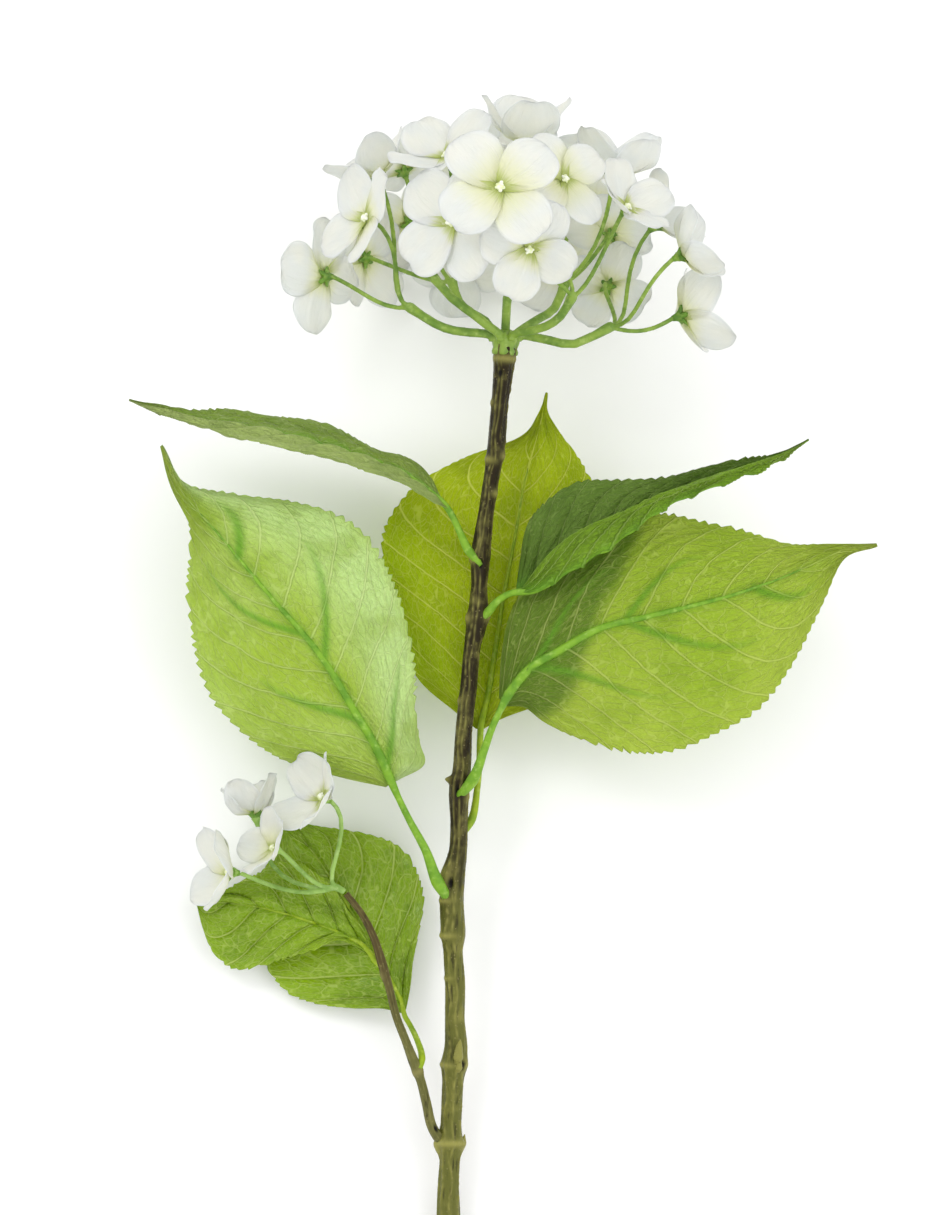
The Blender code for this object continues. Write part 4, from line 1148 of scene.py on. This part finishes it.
# Height from the cut end in mm, bearing from the front in degrees, size and lean of each bud.
BUDS = ((101.0, 12.0, 1.0, 0.25), (97.5, 22.0, 0.7, 0.5), (67.5, -88.0, 0.45, 0.8), (67.5, 90.0, 0.5, 0.8))
# Start, length and half thickness in mm of a bud's scales, from the inner to the outer.
BUD_SCALES = ((0.0, 10.0, 1.7), (0.6, 7.0, 1.9), (1.0, 4.5, 2.0))


def make_bud():
    """Scaly pointed buds on the front of the stem and two stubs at its lowest knot."""
    travelled = lengths(stem_centres)
    parts = []
    for at, bearing, size, lean in BUDS:
        centre, above = smooth(travelled, stem_centres, [at * MM, (at + 2) * MM])
        radius = np.interp(at * MM, travelled, stem_radii)
        way = unit(above - centre)
        turn = math.radians(bearing)
        outward = unit(RIGHT * math.sin(turn) + OUT * math.cos(turn))
        for index, (start, tall, thick) in enumerate(BUD_SCALES):
            path = []
            widths = []
            for share in np.linspace(0, 1, 14):
                away = radius - 0.3 * MM + (0.3 + lean * 2.2 * share + 0.25 * index) * size * MM
                path.append(centre + outward * away + way * ((start + tall * share) * size * MM))
                bulge = math.sin(math.pi * min(1, 0.18 + 0.82 * share)) ** 0.8
                widths.append(thick * size * MM * max(0.04, bulge))
            parts.append(tube(path, widths, 12))
    points, faces = join(parts)
    plain = np.zeros(len(points))
    # Buds are given the pale ridge colour all over, partly painted highlight, and no painted pit shade.
    values = {"along": plain, "pit_shade": plain, "raised": np.full(len(points), 0.8)}
    make_piece("stem_bud", points, faces, stem_bark, (), None, values)


make_bud()


# ---------------------------------------------------------------- floor, light and camera


FLOOR_REACH = 6.0
SENSOR = 36.0
VIEW_DISTANCE = 2.5
VIEW_HEIGHT = 0.486
VIEW_MIDDLE = VIEW_HEIGHT / 2


def make_floor():
    """Plain pale floor under the plant."""
    mesh = bpy.data.meshes.new("pale_floor")
    corners = [(x * FLOOR_REACH, y * FLOOR_REACH, 0) for x, y in ((-1, -1), (1, -1), (1, 1), (-1, 1))]
    mesh.from_pydata(corners, [], [(0, 1, 2, 3)])
    floor = bpy.data.objects.new("pale_floor", mesh)
    bpy.context.scene.collection.objects.link(floor)
    look = Look("pale_floor")
    grain = look.noise(look.place(), 40.0, 2.0)
    shader = look.add("BsdfPrincipled", {"Base Color": look.mix(grain, srgb("FDFDFD"), srgb("FFFFFF"))})
    shader.inputs["Roughness"].default_value = 0.9
    shader.inputs["Specular IOR Level"].default_value = 0.1
    mesh.materials.append(look.finish(shader.outputs[0]))


def make_light(name, place, aim, size, power):
    """Round soft light that looks at a point."""
    data = bpy.data.lights.new(name, "AREA")
    data.shape = "DISK"
    data.size = size
    data.energy = power
    light = bpy.data.objects.new(name, data)
    bpy.context.scene.collection.objects.link(light)
    light.location = place
    light.rotation_mode = "QUATERNION"
    light.rotation_quaternion = (Vector(aim) - Vector(place)).to_track_quat("-Z", "Y")


def make_camera():
    """Camera that faces the lying plant's front from above, its head upwards in the picture."""
    data = bpy.data.cameras.new("camera")
    data.sensor_width = SENSOR
    data.lens = SENSOR * VIEW_DISTANCE / VIEW_HEIGHT
    data.clip_end = 20.0
    camera = bpy.data.objects.new("camera", data)
    bpy.context.scene.collection.objects.link(camera)
    place = PLANT_ORIGIN + PLANT_TURN @ np.array([0.0, VIEW_MIDDLE, VIEW_DISTANCE])
    turn = Matrix([list(row) for row in PLANT_TURN]).to_4x4()
    camera.matrix_world = Matrix.Translation(Vector(place)) @ turn
    bpy.context.scene.camera = camera


make_floor()
make_camera()
make_light("key_softbox", (-1.1, 0.9, 1.9), (0, 0.05, 0.05), 0.8, 9)
make_light("fill_softbox", (1.5, -0.4, 1.7), (0, 0, 0.05), 1.8, 8)
world = bpy.data.worlds.new("studio")
world.use_nodes = True
world.node_tree.nodes["Background"].inputs["Color"].default_value = (1.0, 1.0, 1.0, 1.0)
world.node_tree.nodes["Background"].inputs["Strength"].default_value = 1.08
bpy.context.scene.world = world
bpy.context.scene.view_settings.view_transform = "Standard"
